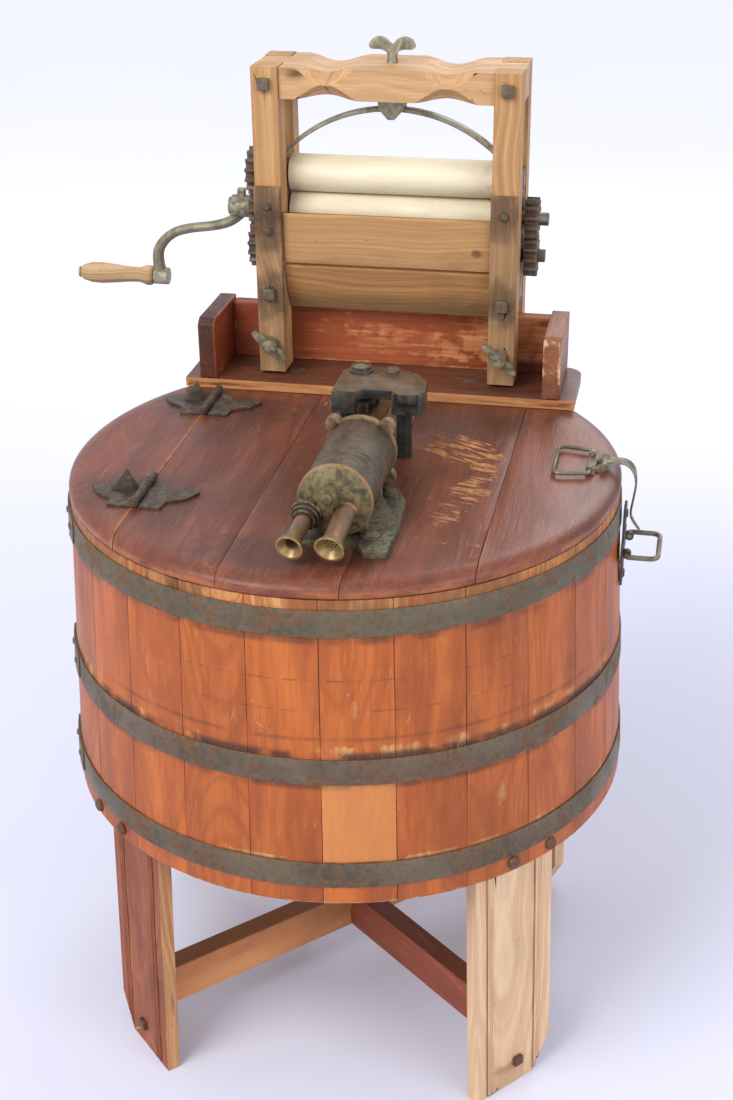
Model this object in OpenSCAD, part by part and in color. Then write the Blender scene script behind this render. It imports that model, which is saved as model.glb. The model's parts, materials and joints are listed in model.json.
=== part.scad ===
// Wooden tub washing machine with a water motor on its lid and a roll wringer behind.
// The origin is on the floor, below the middle of the object's box, +Z is up and
// +Y points to the back, where the wringer stands. Lengths are millimetres.

/* [Tub] */
// Height of the staves' lower ends above the floor
rim_z = 341; // [300:1:400]
// Length of the staves
stave_h = 366; // [340:1:430]
// Outside radius of the tub at the staves' upper ends
tub_top_r = 316.4; // [300:0.1:345]
// How much the radius grows for each millimetre down
tub_taper = 0.048; // [0.03:0.001:0.06]
// Number of staves
stave_n = 26; // [18:1:36]
// Thickness of a stave
stave_t = 22; // [18:0.5:26]
// Depth of the groove that holds the bottom boards
croze_d = 5; // [3:0.5:8]
// Height of the bottom boards above the staves' lower ends
chime_h = 40; // [34:1:60]
// Thickness of the bottom boards
bottom_t = 20; // [14:1:26]
// Width of a hoop
hoop_w = 30; // [20:1:36]
// Thickness of a hoop
hoop_t = 1.6; // [1:0.1:3]

/* [Legs] */
// Width of a leg board
leg_w = 118; // [90:1:130]
// Thickness of a leg board
leg_t = 16; // [12:1:24]
// Gap between a leg's outer face at its top and the staves' inner face there
leg_gap = 7.048; // [6:0.001:20.1]
// How far a leg's foot stands out past its top
leg_splay = 12; // [0:1:20]
// Angle between the side-to-side axis and each leg
leg_angle = 43; // [36:1:50]
// How far the four legs are turned round the tub's axis
leg_turn = 2.5; // [-5:0.5:5]
// Height of a cross brace
brace_h = 54; // [36:1:64]
// Thickness of a cross brace
brace_t = 26; // [16:1:30]
// Height of the braces' lower edges above the floor
brace_z = 57; // [40:1:120]

/* [Lid] */
// Thickness of the lid
lid_t = 18; // [14:1:24]
// How far the lid's edge stands past the tub's top
lid_over = 1.1; // [0:0.1:6]
// Width of the rounded edge of the lid
lid_nose = 20.5; // [8:0.5:26]
// Place of the hinge seam, left of the tub's axis
seam_x = 198; // [170:1:220]
// Place of the seam in front of the shelf, behind the tub's axis
rear_y = 182; // [175:1:195]
// Joint between neighbouring boards
board_gap = 0.3; // [0.1:0.1:1]

/* [Shelf] */
// Half length of the shelf plank
shelf_x = 247; // [230:1:262]
// Rear edge of the shelf plank
shelf_y = 300; // [296:1:320]
// Thickness of the shelf plank
shelf_t = 12; // [10:0.5:20]
// Front face of the back board
back_y = 272; // [268:1:276]
// Thickness of the back board
back_t = 19.7; // [14:0.1:19.7]
// Height of the back board
back_h = 73; // [55:1:85]
// Half distance between the end boards
end_x = 206; // [190:1:215]
// Thickness of an end board
end_t = 22; // [15:1:24]
// Height of an end board
end_h = 78; // [76:1:100]

/* [Wringer] */
// Height of the lower roll's axis above the shelf
roll_up = 200; // [188:1:263]
// Radius of a roll
roll_r = 22.8; // [18:0.1:22.8]
// Distance between the two rolls' axes
roll_pitch = 46; // [46:1:52]
// Half length of a roll's covering
roll_x = 127; // [110:1:127]
// Radius of the roll shafts
shaft_r = 8; // [6:0.5:9]
// How far right of the tub's axis the wringer is clamped
wringer_x = 6; // [0:1:10]
// Inner face of a post, from the wringer's middle
post_x = 129; // [129:1:131]
// Width of a post
post_w = 33; // [32:1:36]
// Front face of the front posts
post_y = 220; // [214:1:224]
// Depth of a post
post_d = 32; // [26:1:34]
// Height of the top of the posts above the shelf
post_up = 383; // [378:1:463]
// Height of the top beam
beam_h = 37; // [28:1:44]
// Thickness of the bow spring
spring_t = 5; // [3:0.5:7]
// Width of the gear wheels' teeth
gear_w = 16; // [10:1:18]
// Distance from the crank's axis to its grip
crank_r = 97; // [80:1:105]

/* [Water motor] */
// Place of the cylinder's axis, right of the tub's axis
motor_x = 37; // [30:1:44]
// Height of the cylinder's underside above the lid
motor_gap = 10; // [8:1:22]
// Outside radius of the cylinder
motor_r = 38; // [34:0.5:42]
// Wall of the cylinder
motor_wall = 4; // [2:0.5:6]
// Front end of the cylinder, in front of the tub's axis
motor_front = 215; // [205:1:225]
// Rear end of the cylinder, in front of the tub's axis
motor_rear = 92; // [85:1:110]
// Radius of the piston rod
rod_r = 8; // [6:0.5:9]
// Radius of the dolly's shaft
dolly_r = 9.5; // [8:0.5:11]
// Radius of the dolly's disc
disc_r = 92; // [70:1:110]
// Length of the dolly's pegs
peg_h = 90; // [60:1:110]
// Space between the pegs and the tub's bottom
peg_gap = 71; // [10:1:80]

/* [Hidden] */
$fn = 96;

seat = 0.3;        // gap between a piece and what it rests on
run_fit = 0.05;    // radial clearance of a shaft that turns in its bore
bolt_r = 5;        // radius of the larger bolts
eps = 0.5;         // how far a cutting shape runs past a face
axis_x = 22;       // the tub's axis stands right of the middle of the whole

// Colours, as the finish looks in daylight
tub_wood = [0.62, 0.27, 0.13];
lid_wood = [0.36, 0.16, 0.13];
pine = [0.80, 0.60, 0.40];
red_wood = [0.58, 0.24, 0.14];
iron = [0.27, 0.26, 0.22];
brass = [0.50, 0.44, 0.28];
grey_metal = [0.45, 0.44, 0.36];
cream = [0.88, 0.85, 0.74];

top_z = rim_z + stave_h;
bottom_z = rim_z + chime_h;
lid_z = top_z + lid_t;
lid_r = tub_top_r + lid_over;
shelf_z = lid_z + shelf_t;
roll_z = shelf_z + roll_up;
post_top = shelf_z + post_up;
motor_up = motor_r + motor_gap;
upper_z = roll_z + roll_pitch;
roll_y = (post_y + post_d + post_y + 2 * post_d + 8) / 2;
slot_front = post_y + post_d;
slot_back = 2 * roll_y - slot_front;
function tub_r(z) = tub_top_r + tub_taper * (top_z - z);
function in_r(z) = tub_r(z) - stave_t;
leg_face_r = in_r(bottom_z) - leg_gap;
function unit(v) = v / norm(v);

// Stands a piece on the tub's axis
module placed() translate([axis_x, 0, 0]) children();
// Stands a piece of the wringer on its own middle, where it is clamped
module on_shelf() translate([axis_x + wringer_x, 0, 0]) children();
module both_sides() { children(); mirror([1, 0, 0]) children(); }

// A smooth curve through the points c, with n steps between two of them
function blend_at(a, b, c, d, t) =
    0.5 * (2 * b + (c - a) * t + (2 * a - 5 * b + 4 * c - d) * t * t + (3 * b - a - 3 * c + d) * t * t * t);
function curve(c, n) = concat(
    [for (i = [0 : len(c) - 2], k = [0 : n - 1])
        blend_at(c[max(i - 1, 0)], c[i], c[i + 1], c[min(i + 2, len(c) - 1)], k / n)],
    [c[len(c) - 1]]);
function mix_at(r, n, k) = let (s = k / n, i = min(floor(s), len(r) - 2)) r[i] + (r[i + 1] - r[i]) * (s - i);

// A bar along the flat path p whose plane has the normal nrm; a is its half width
// along the normal and b its half thickness in the plane, one value for each point
module sweep(p, nrm, a, b, sides = 10) {
    last = len(p) - 1;
    pts = [for (i = [0 : last])
        let (t = unit(p[min(i + 1, last)] - p[max(i - 1, 0)]), s = unit(cross(nrm, t)))
        for (k = [0 : sides - 1])
            p[i] + a[i] * cos(360 * k / sides) * nrm + b[i] * sin(360 * k / sides) * s];
    side_faces = [for (i = [0 : last - 1], k = [0 : sides - 1])
        let (m = (k + 1) % sides, q = i * sides)
        each [[q + k, q + m, q + sides + k], [q + m, q + sides + m, q + sides + k]]];
    start_face = [for (k = [1 : sides - 2]) [0, k + 1, k]];
    end_face = [for (k = [1 : sides - 2]) [last * sides, last * sides + k, last * sides + k + 1]];
    polyhedron(pts, concat(side_faces, start_face, end_face), convexity = 6);
}
module wire(p, nrm, r) sweep(p, nrm, [for (q = p) r], [for (q = p) r]);

// A gear wheel round the X axis, from x0 to x0 + gear_w; phase turns it in degrees
gear_m = roll_pitch / 12;
tooth_up = 0.80 * gear_m;
tooth_down = 1.05 * gear_m;
module gear(x0, n, phase, bore) {
    r = gear_m * n / 2;
    half = 0.215 * 360 / n;
    tip = 0.095 * 360 / n;
    foot = 0.31 * 360 / n;
    outline = [for (i = [0 : n - 1]) let (a = phase + 360 * i / n)
        each [[r - tooth_down, a - foot], [r, a - half], [r + tooth_up, a - tip],
              [r + tooth_up, a + tip], [r, a + half], [r - tooth_down, a + foot]]];
    translate([x0, 0, 0]) rotate([90, 0, 90]) difference() {
        linear_extrude(gear_w) polygon([for (q = outline) q[0] * [cos(q[1]), sin(q[1])]]);
        translate([0, 0, -eps]) cylinder(r = bore, h = gear_w + 2 * eps);
    }
}
module rod_x(x0, x1, r) translate([x0, 0, 0]) rotate([0, 90, 0]) cylinder(r = r, h = x1 - x0);
module rod_y(y0, y1, r) translate([0, y0, 0]) rotate([-90, 0, 0]) cylinder(r = r, h = y1 - y0);
module block(x0, x1, y0, y1, z0, z1) translate([x0, y0, z0]) cube([x1 - x0, y1 - y0, z1 - z0]);

// Tub
leg_angles = [for (a = [-leg_angle, leg_angle - 180, leg_angle, 180 - leg_angle]) a + leg_turn];
leg_bolt_side = 28;
leg_bolt_z = rim_z + 14;
leg_slope = atan(leg_splay / bottom_z);
function leg_face(z) = leg_face_r + leg_splay * (bottom_z - z) / bottom_z;

module at_leg_bolts() {
    for (a = leg_angles, s = [-1, 1])
        rotate([0, 0, a]) translate([leg_face(leg_bolt_z), s * leg_bolt_side, leg_bolt_z]) rotate([0, 90, 0]) children();
}
module tub_staves() {
    g0 = bottom_z - seat;
    g1 = bottom_z + bottom_t + seat;
    bevel = 3;
    section = [[in_r(rim_z), rim_z], [tub_r(rim_z) - bevel, rim_z], [tub_r(rim_z + bevel), rim_z + bevel],
               [tub_r(top_z), top_z], [in_r(top_z), top_z],
               [in_r(g1), g1], [in_r(g1) + croze_d, g1], [in_r(g0) + croze_d, g0], [in_r(g0), g0]];
    step = 360 / stave_n;
    joint = board_gap / tub_top_r * 180 / PI;
    color(tub_wood) placed() difference() {
        for (i = [0 : stave_n - 1])
            rotate([0, 0, i * step + joint / 2]) rotate_extrude(angle = step - joint, $fn = 180) polygon(section);
        at_leg_bolts() translate([0, 0, -20]) cylinder(r = bolt_r + seat, h = 80);
    }
}
module tub_bottom() {
    r = in_r(bottom_z + bottom_t) + croze_d - seat;
    boards = 5;
    w = 2 * r / boards;
    color(tub_wood) placed() intersection() {
        translate([0, 0, bottom_z]) cylinder(r = r, h = bottom_t, $fn = 180);
        for (i = [0 : boards - 1])
            block(-r + i * w + board_gap / 2, -r + (i + 1) * w - board_gap / 2, -r - 1, r + 1, bottom_z - 1,
                  bottom_z + bottom_t + 1);
    }
}
hoop_low = rim_z + 24;
hoop_mid = top_z - 214;
hoop_up = top_z - 41;
lap_angle = 203;
module hoop_band(z, from, sweep_angle, out) {
    g = 0.1 + out;
    rotate([0, 0, from]) rotate_extrude(angle = sweep_angle, $fn = 180)
        polygon([[tub_r(z) + g, z], [tub_r(z) + g + hoop_t, z], [tub_r(z + hoop_w) + g + hoop_t, z + hoop_w],
                 [tub_r(z + hoop_w) + g, z + hoop_w]]);
}
module tub_hoops() {
    color(iron) placed() for (z = [hoop_low, hoop_mid, hoop_up]) {
        hoop_band(z, 0, 360, 0);
        hoop_band(z, lap_angle - 7, 14, hoop_t + 0.1);
        for (s = [-1, 1]) {
            mid = z + hoop_w / 2;
            rotate([0, 0, lap_angle + 4 * s]) translate([tub_r(mid) + 2 * hoop_t, 0, mid]) rotate([0, 90, 0])
                cylinder(r1 = 5, r2 = 3, h = 2.2);
        }
    }
}

// Legs and braces
foot_clip = 26;
foot_clip_h = 45;
foot_bolt_z = 33;
foot_bolt_side = [6, 0, 0, 0];
peg_in = 9;         // how far the hidden pegs of the braces go into a leg
// Leg number i; its lower corner is cut off on the side clip, 1 or -1
module leg(i, clip) {
    a = leg_angles[i];
    half = leg_w / 2;
    top = bottom_z - seat;
    front = [[-clip * half, 0], [clip * (half - foot_clip), 0], [clip * half, foot_clip_h], [clip * half, top],
             [-clip * half, top]];
    bead_x = [34, 40];
    color(pine) placed() rotate([0, 0, a]) difference() {
        intersection() {
            rotate([90, 0, 0]) linear_extrude(leg_w, center = true)
                polygon([[leg_face(0) - leg_t, 0], [leg_face(0), 0], [leg_face(top), top], [leg_face(top) - leg_t, top]]);
            translate([200, 0, 0]) rotate([90, 0, 90]) linear_extrude(200) polygon(front);
        }
        for (x = bead_x, s = [-1, 1])
            translate([leg_face(0), s * x, 0]) rotate([0, -leg_slope, 0]) rotate([0, 0, 45])
                translate([-1.4, -1.4, -eps]) cube([2.8, 2.8, bottom_z + 20]);
        for (s = [-1, 1])
            translate([leg_face(leg_bolt_z) - leg_t - 5, s * leg_bolt_side, leg_bolt_z]) rotate([0, 90, 0])
                cylinder(r = bolt_r + seat, h = 60);
        translate([leg_face(brace_mid) - leg_t - 5, 0, brace_mid]) rotate([0, 90, 0])
            cylinder(r = bolt_r + seat, h = 5 + peg_in + seat);
        at_foot_bolt(i) translate([0, 0, -leg_t - 5]) cylinder(r = bolt_r + seat, h = 40);
    }
}
module at_foot_bolt(i)
    translate([leg_face(foot_bolt_z), foot_bolt_side[i], foot_bolt_z]) rotate([0, 90 - leg_slope, 0]) children();
brace_mid = brace_z + brace_h / 2;
module leg_front_right() leg(0, 1);
module leg_front_left() leg(1, -1);
module leg_back_right() leg(2, -1);
module leg_back_left() leg(3, 1);
module square_head(size, h) translate([-size / 2, -size / 2, 0]) cube([size, size, h]);
module leg_bolts() {
    color(iron) placed() {
        at_leg_bolts() {
            reach = sqrt(pow(tub_r(leg_bolt_z), 2) - pow(leg_bolt_side, 2)) - leg_face(leg_bolt_z) + 1;
            translate([0, 0, -leg_t - 6]) cylinder(r = bolt_r, h = reach + leg_t + 7);
            translate([0, 0, reach]) cylinder(r1 = 8, r2 = 6, h = 3.5);
            translate([0, 0, -leg_t - 6]) square_head(14, 5.7);
        }
        for (a = leg_angles)
            rotate([0, 0, a]) translate([leg_face(brace_mid) - leg_t - 30, 0, brace_mid]) rotate([0, 90, 0])
                cylinder(r = bolt_r, h = 30 + peg_in);
        for (i = [0 : 3]) rotate([0, 0, leg_angles[i]]) at_foot_bolt(i) {
            translate([0, 0, -leg_t - 4]) cylinder(r = bolt_r, h = leg_t + 6);
            translate([0, 0, seat]) square_head(12, 5);
            translate([0, 0, -leg_t - 6 - seat]) square_head(13, 6);
        }
    }
}
module brace(a, notch_top) {
    end0 = leg_face(brace_z) - leg_t - seat;
    end1 = leg_face(brace_z + brace_h) - leg_t - seat;
    notch = (brace_t / 2 + seat) / sin(2 * leg_angle) + brace_t;
    mid = brace_z + brace_h / 2;
    cross_angle = notch_top ? 2 * leg_angle : -2 * leg_angle;
    color(red_wood) placed() difference() {
        rotate([0, 0, a]) rotate([90, 0, 0]) linear_extrude(brace_t, center = true)
            polygon([[-end0, brace_z], [end0, brace_z], [end1, brace_z + brace_h], [-end1, brace_z + brace_h]]);
        rotate([0, 0, a + cross_angle]) translate([-notch, -brace_t / 2 - seat, notch_top ? mid - seat / 2 : brace_z - 1])
            cube([2 * notch, brace_t + 2 * seat, brace_h / 2 + seat / 2 + 1]);
        for (s = [0, 180])
            rotate([0, 0, a + s]) translate([leg_face(brace_mid) - leg_t - 31, 0, brace_mid]) rotate([0, 90, 0])
                cylinder(r = bolt_r + seat, h = 40);
    }
}
module brace_right() brace(leg_angles[0], true);
module brace_left() brace(leg_angles[1], false);

// Lid
nose_z = 7;
module lid_disc() {
    edge = [for (a = [0 : 15 : 90])
        [lid_r - lid_nose + lid_nose * cos(a), top_z + seat + nose_z + (lid_t - seat - nose_z) * sin(a)]];
    rotate_extrude($fn = 180)
        polygon(concat([[0, top_z + seat], [lid_r - 2, top_z + seat], [lid_r, top_z + seat + 2]], edge, [[0, lid_z]]));
}
bolt_x = 111;
bolt_y = 230;
module shelf_bolt_holes() for (s = [-1, 1]) translate([s * bolt_x, bolt_y, top_z - 30]) cylinder(r = bolt_r + seat, h = 90);
module lid_rear_segment() {
    color(lid_wood) placed() difference() {
        intersection() {
            lid_disc();
            block(-400, 400, rear_y + board_gap, 400, top_z - 5, lid_z + 5);
        }
        shelf_bolt_holes();
    }
}
module lid_left_segment() {
    color(lid_wood) placed() intersection() {
        lid_disc();
        block(-400, -seam_x - board_gap, -400, rear_y - board_gap, top_z - 5, lid_z + 5);
    }
}
dolly_x = 11;
dolly_y = 44;
module lid_boards() {
    boards = 4;
    x1 = lid_r;
    w = (x1 + seam_x) / boards;
    color(lid_wood) placed() difference() {
        intersection() {
            lid_disc();
            for (i = [0 : boards - 1])
                block(-seam_x + i * w + board_gap, -seam_x + (i + 1) * w + (i == boards - 1 ? 5 : 0), -400,
                      rear_y - 2 * board_gap, top_z - 5, lid_z + 5);
        }
        translate([dolly_x, dolly_y, top_z - 5]) cylinder(r = dolly_r + 1.5, h = lid_t + 10);
        for (q = base_screws) translate([q[0], q[1], lid_z - screw_in - seat]) cylinder(r = base_screw_r + seat, h = lid_t);
    }
}
batten_t = 22;
batten_w = 60;
module lid_battens() {
    color(pine) placed() for (y = [-150, 128])
        block(-seam_x + 18, 205, y - batten_w / 2, y + batten_w / 2, top_z + seat - batten_t, top_z + seat);
}

// Shelf
shelf_corner = 24;
module shelf_plank() {
    y0 = rear_y + 2 * board_gap;
    color(lid_wood) placed() difference() {
        union() {
            block(-shelf_x, shelf_x, y0, shelf_y - shelf_corner, lid_z, shelf_z);
            block(-shelf_x + shelf_corner, shelf_x - shelf_corner, y0, shelf_y, lid_z, shelf_z);
            both_sides() translate([shelf_x - shelf_corner, shelf_y - shelf_corner, lid_z])
                cylinder(r = shelf_corner, h = shelf_t);
        }
        for (s = [-1, 1]) translate([s * bolt_x, bolt_y, shelf_z - 5]) cylinder(r1 = bolt_r + seat, r2 = 10 + seat, h = 5.1);
        shelf_bolt_holes();
    }
}
module back_board() color(red_wood) placed() block(-end_x + seat, end_x - seat, back_y, back_y + back_t, shelf_z, shelf_z + back_h);
end_clip_h = 7;
end_clip_y = 9;
module end_board(side) {
    y0 = rear_y + 2;
    color(red_wood) placed() scale([side, 1, 1]) translate([end_x, 0, 0]) rotate([90, 0, 90]) linear_extrude(end_t)
        polygon([[y0, shelf_z], [y0, shelf_z + end_h - end_clip_h], [y0 + end_clip_y, shelf_z + end_h],
                 [back_y + back_t, shelf_z + end_h], [back_y + back_t, shelf_z]]);
}
module end_board_left() end_board(-1);
module end_board_right() end_board(1);

// Lid hinges: a cast leaf on each side of a pin
pin_r = 2.6;
knuckle_r = 5;
hinge_z = lid_z + knuckle_r + 0.5;
leaf_t = 3;
front_y = [-177, -102];
back_y_range = [92, 167];
function knuckle_y(r, i) = r[0] + (r[1] - r[0]) * i / 3;
module leaf(r, side) {
    tip_y = r[0] + 40;
    pts = [[5.6, r[0]], [30, r[0]], [32, r[0] + 17], [52, r[0] + 28], [62, tip_y + 6], [44, tip_y + 12],
           [28, tip_y + 6], [5.6, r[1]]];
    translate([-seam_x, 0, lid_z]) linear_extrude(leaf_t) polygon([for (p = pts) [side * p[0], p[1]]]);
}
module knuckles(r, odd) {
    for (i = [0 : 2]) if ((i % 2 == 1) == odd) {
        translate([-seam_x, 0, hinge_z]) rod_y(knuckle_y(r, i) + 0.2, knuckle_y(r, i + 1) - 0.2, knuckle_r);
        translate([-seam_x, 0, lid_z]) translate([odd ? 0 : -5.7, knuckle_y(r, i) + 0.2, 0.5])
            cube([5.7, (r[1] - r[0]) / 3 - 0.4, leaf_t - 0.5]);
    }
}
module hinge_leaves_fixed() {
    color(iron) placed() for (r = [front_y, back_y_range]) {
        difference() {
            union() {
                leaf(r, -1);
                knuckles(r, false);
            }
            translate([-seam_x, 0, hinge_z]) rod_y(r[0] - 1, r[1] + 1, pin_r);
            block(-seam_x - 8, -seam_x + 8, knuckle_y(r, 1) - 0.2, knuckle_y(r, 2) + 0.2, lid_z - 1, lid_z + 20);
        }
        translate([-seam_x, 0, hinge_z]) rod_y(r[0], r[1], pin_r);
        translate([-seam_x - 12, r[0] + 46, lid_z + leaf_t]) rotate([90, 0, 12]) linear_extrude(5)
            polygon([[-26, 0], [4, 0], [-8, 24]]);
    }
}
module hinge_leaves_lid() {
    color(iron) placed() for (r = [front_y, back_y_range]) difference() {
        union() {
            leaf(r, 1);
            knuckles(r, true);
        }
        translate([-seam_x, 0, hinge_z]) rod_y(r[0] - 1, r[1] + 1, pin_r + run_fit);
        for (i = [0, 2])
            block(-seam_x - 8, -seam_x + 5.7, knuckle_y(r, i) - 1, knuckle_y(r, i + 1) + 0.2, lid_z - 1, lid_z + 20);
    }
}

// Side handles: a plate with two eyes, and a bail of round wire
handle_z = 640;
plate_x = tub_r(rim_z + 252) + 0.3;
eye_x = plate_x + 7;
eye_r = 5;
bail_r = 3;
bail_y = 33;
bail_out = 35;
module handle_bracket() {
    difference() {
        union() {
            block(plate_x, plate_x + 3, -13, 13, rim_z + 252, rim_z + 348);
            block(plate_x, plate_x + 3, -28, 28, handle_z - 12, handle_z + 12);
            for (s = [-1, 1]) {
                translate([eye_x, s * 24 - 4, handle_z]) rod_y(0, 8, eye_r);
                block(plate_x, eye_x, s * 24 - 4, s * 24 + 4, handle_z - 3, handle_z + 3);
            }
            for (z = [rim_z + 262, rim_z + 338]) translate([plate_x + 3, 0, z]) rotate([0, 90, 0]) cylinder(r1 = 6, r2 = 4, h = 2);
        }
        translate([eye_x, 0, handle_z]) rod_y(-40, 40, bail_r + run_fit);
    }
}
module handle_brackets() color(iron) placed() both_sides() handle_bracket();
function arc2(c, r, a0, a1, n) = [for (k = [0 : n]) let (a = a0 + (a1 - a0) * k / n) c + r * [cos(a), sin(a)]];
// The bail's half outline, out from the eye and round the corner, as [out, along]
bail_half = concat([[0, 20]], arc2([3, bail_y - 3], 3, 180, 90, 3), arc2([bail_out - 9, bail_y - 9], 9, 90, 0, 4));
bail_path = concat(bail_half, [for (i = [len(bail_half) - 1 : -1 : 0]) [bail_half[i][0], -bail_half[i][1]]]);
module bail(side, drop) {
    color(grey_metal) placed() translate([side * eye_x, 0, handle_z]) rotate([0, side * drop, 0])
        wire([for (q = bail_path) [side * q[0], q[1], 0]], [0, 0, 1], bail_r);
}
module bail_right() bail(1, 0);
module bail_left() bail(-1, 83);

// Lid latch on the right: a base with a pin, a strap over the lid's edge and a wire loop
latch_y = 22;
latch_x = lid_r - 20.5;
latch_pin_z = lid_z + 6;
loop_x = latch_x - 16;
module latch_base() {
    color(grey_metal) placed() {
        block(loop_x - 4, latch_x - 10, latch_y - 27, latch_y + 27, lid_z, lid_z + 2);
        difference() {
            for (s = [-1, 1]) {
                translate([loop_x, latch_y + s * 22 - 3, lid_z + 5]) rod_y(0, 6, 4.5);
                block(loop_x - 4, loop_x + 4, latch_y + s * 22 - 3, latch_y + s * 22 + 3, lid_z + 1, lid_z + 5);
            }
            translate([loop_x, 0, lid_z + 5]) rod_y(latch_y - 40, latch_y + 40, 2.5 + run_fit);
        }
        block(loop_x + 3, latch_x, latch_y - 17, latch_y - 11, lid_z, lid_z + 4);
        block(loop_x + 3, latch_x, latch_y + 11, latch_y + 17, lid_z, lid_z + 4);
        for (s = [-1, 1]) translate([latch_x, latch_y + s * 14 - 3, latch_pin_z]) rod_y(0, 6, 4.5);
        translate([latch_x, 0, latch_pin_z]) rod_y(latch_y - 14, latch_y + 14, 2.5);
    }
}
strap_points = [[latch_x + 4, latch_pin_z + 2.6], [latch_x + 14, latch_pin_z + 2.5], [latch_x + 25, latch_pin_z + 0.5],
                [latch_x + 33, latch_pin_z - 8], [latch_x + 36, latch_pin_z - 24], [latch_x + 34, latch_pin_z - 44],
                [latch_x + 32, latch_pin_z - 62], [latch_x + 36, latch_pin_z - 72], [latch_x + 43, latch_pin_z - 82]];
strap_half = [9, 9, 11, 12, 10, 7, 6, 5, 3];
module latch_strap() {
    n = 3;
    p = curve(strap_points, n);
    color(grey_metal) placed() {
        sweep([for (q = p) [q[0], latch_y, q[1]]], [0, 1, 0], [for (k = [0 : len(p) - 1]) mix_at(strap_half, n, k)],
              [for (q = p) 1.3], 12);
        difference() {
            union() {
                translate([latch_x, latch_y - 10.5, latch_pin_z]) rod_y(0, 21, 4);
                block(latch_x, latch_x + 9, latch_y - 9, latch_y + 9, latch_pin_z + 1.6, latch_pin_z + 3.8);
            }
            translate([latch_x, 0, latch_pin_z]) rod_y(latch_y - 20, latch_y + 20, 2.5 + run_fit);
        }
    }
}
loop_half = concat([[0, 17], [0, 27]], arc2([-4, 29], 4, 0, 90, 3), [[-16, 35.5]], arc2([-32, 30], 8, 80, 180, 4));
module lid_loop() {
    path = concat(loop_half, [for (i = [len(loop_half) - 1 : -1 : 0]) [loop_half[i][0], -loop_half[i][1]]]);
    color(grey_metal) placed() wire([for (q = path) [loop_x + q[0], latch_y + q[1], lid_z + 5]], [0, 0, 1], 2.5);
}

// Water motor
motor_z = lid_z + motor_up;
bore_r = motor_r - motor_wall;
base_t = 8;
base_outline = [[-20, -236], [-14, -108], [4, -94], [62, -94], [82, -98], [93, -122], [97, -180], [96, -250],
                [72, -250], [62, -232]];
base_screws = [[73, -108], [73, -216], [-4, -120], [-5, -160]];
base_screw_r = 4;
saddle_x = 30;      // half width of the two saddles under the cylinder
screw_in = 12;      // how far the base's screws go into the lid
// Places of the two nipples' roots from the middle of the cylinder's front end, as [right, front, up]
inlet_at = [-27.5, 10, -13];
inlet_turn = [12, 0, -6];
outlet_at = [13.7, 10, -5.7];
outlet_turn = [17, 0, -6];
nipple_ring_r = 17;
outlet_r = 10.5;
module at_motor() translate([motor_x, 0, motor_z]) children();
module at_inlet() at_motor() translate([inlet_at[0], -motor_front - inlet_at[1], inlet_at[2]]) rotate(inlet_turn) children();
module at_outlet()
    at_motor() translate([outlet_at[0], -motor_front - outlet_at[1], outlet_at[2]]) rotate(outlet_turn) children();
module motor_base() {
    color(brass) placed() difference() {
        union() {
            translate([0, 0, lid_z]) linear_extrude(base_t) polygon(base_outline);
            for (y = [-206, -128]) block(motor_x - saddle_x, motor_x + saddle_x, y, y + 10, lid_z + 1, lid_z + 28);
            block(motor_x - 10, motor_x + 10, -206, -102, lid_z + 1, lid_z + 12);
            for (q = base_screws) translate([q[0], q[1], lid_z]) cylinder(r = 10, h = base_t + 3);
        }
        at_motor() rod_y(-motor_front, -60, motor_r + 0.1);
        at_motor() rod_y(-260, -motor_front + 0.2, motor_r + 2 + seat);
        for (q = base_screws) translate([q[0], q[1], lid_z - 1]) cylinder(r = base_screw_r + seat, h = 30);
    }
}
module motor_barrel() {
    color(brass) placed() at_motor() difference() {
        rod_y(-motor_front, -motor_rear, motor_r);
        rod_y(-motor_front - 1, -motor_rear + 1, bore_r);
    }
}
head_bolts = [45, 135, 225, 315];
module motor_front_head() {
    color(brass) placed() difference() {
        at_motor() translate([0, -motor_front, 0]) rotate([90, 0, 0]) {
            rotate_extrude() polygon([[0, 0.1], [motor_r + 2, 0.1], [motor_r + 2, 5], [motor_r - 4, 8], [motor_r - 12, 12],
                                      [motor_r - 24, 15], [10, 16], [0, 16]]);
            translate([-2, 15, 12]) cylinder(r = 9, h = 17);
            translate([-2, 15, 28]) cylinder(r = 5.5, h = 5, $fn = 6);
        }
        at_inlet() rod_y(-60, 0, nipple_ring_r + seat);
        at_outlet() rod_y(-60, 0, outlet_r + 1.5 + seat);
    }
}
module motor_rear_head() {
    color(brass) placed() at_motor() difference() {
        union() {
            rod_y(-motor_rear + 0.1, -motor_rear + 9, motor_r + 2);
            for (a = head_bolts) rotate([0, a, 0]) translate([motor_r + 4, 0, 0]) rod_y(-motor_rear + 0.1, -motor_rear + 11, 9);
            translate([0, -motor_rear + 9, 0]) rotate([-90, 0, 0]) cylinder(r1 = 26, r2 = 15, h = 10);
            rod_y(-motor_rear + 10, -motor_rear + 36, 12.5);
            rod_y(-motor_rear + 26, -motor_rear + 40, 15);
        }
        rod_y(-motor_rear - 1, -motor_rear + 60, rod_r + run_fit);
    }
}
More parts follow.
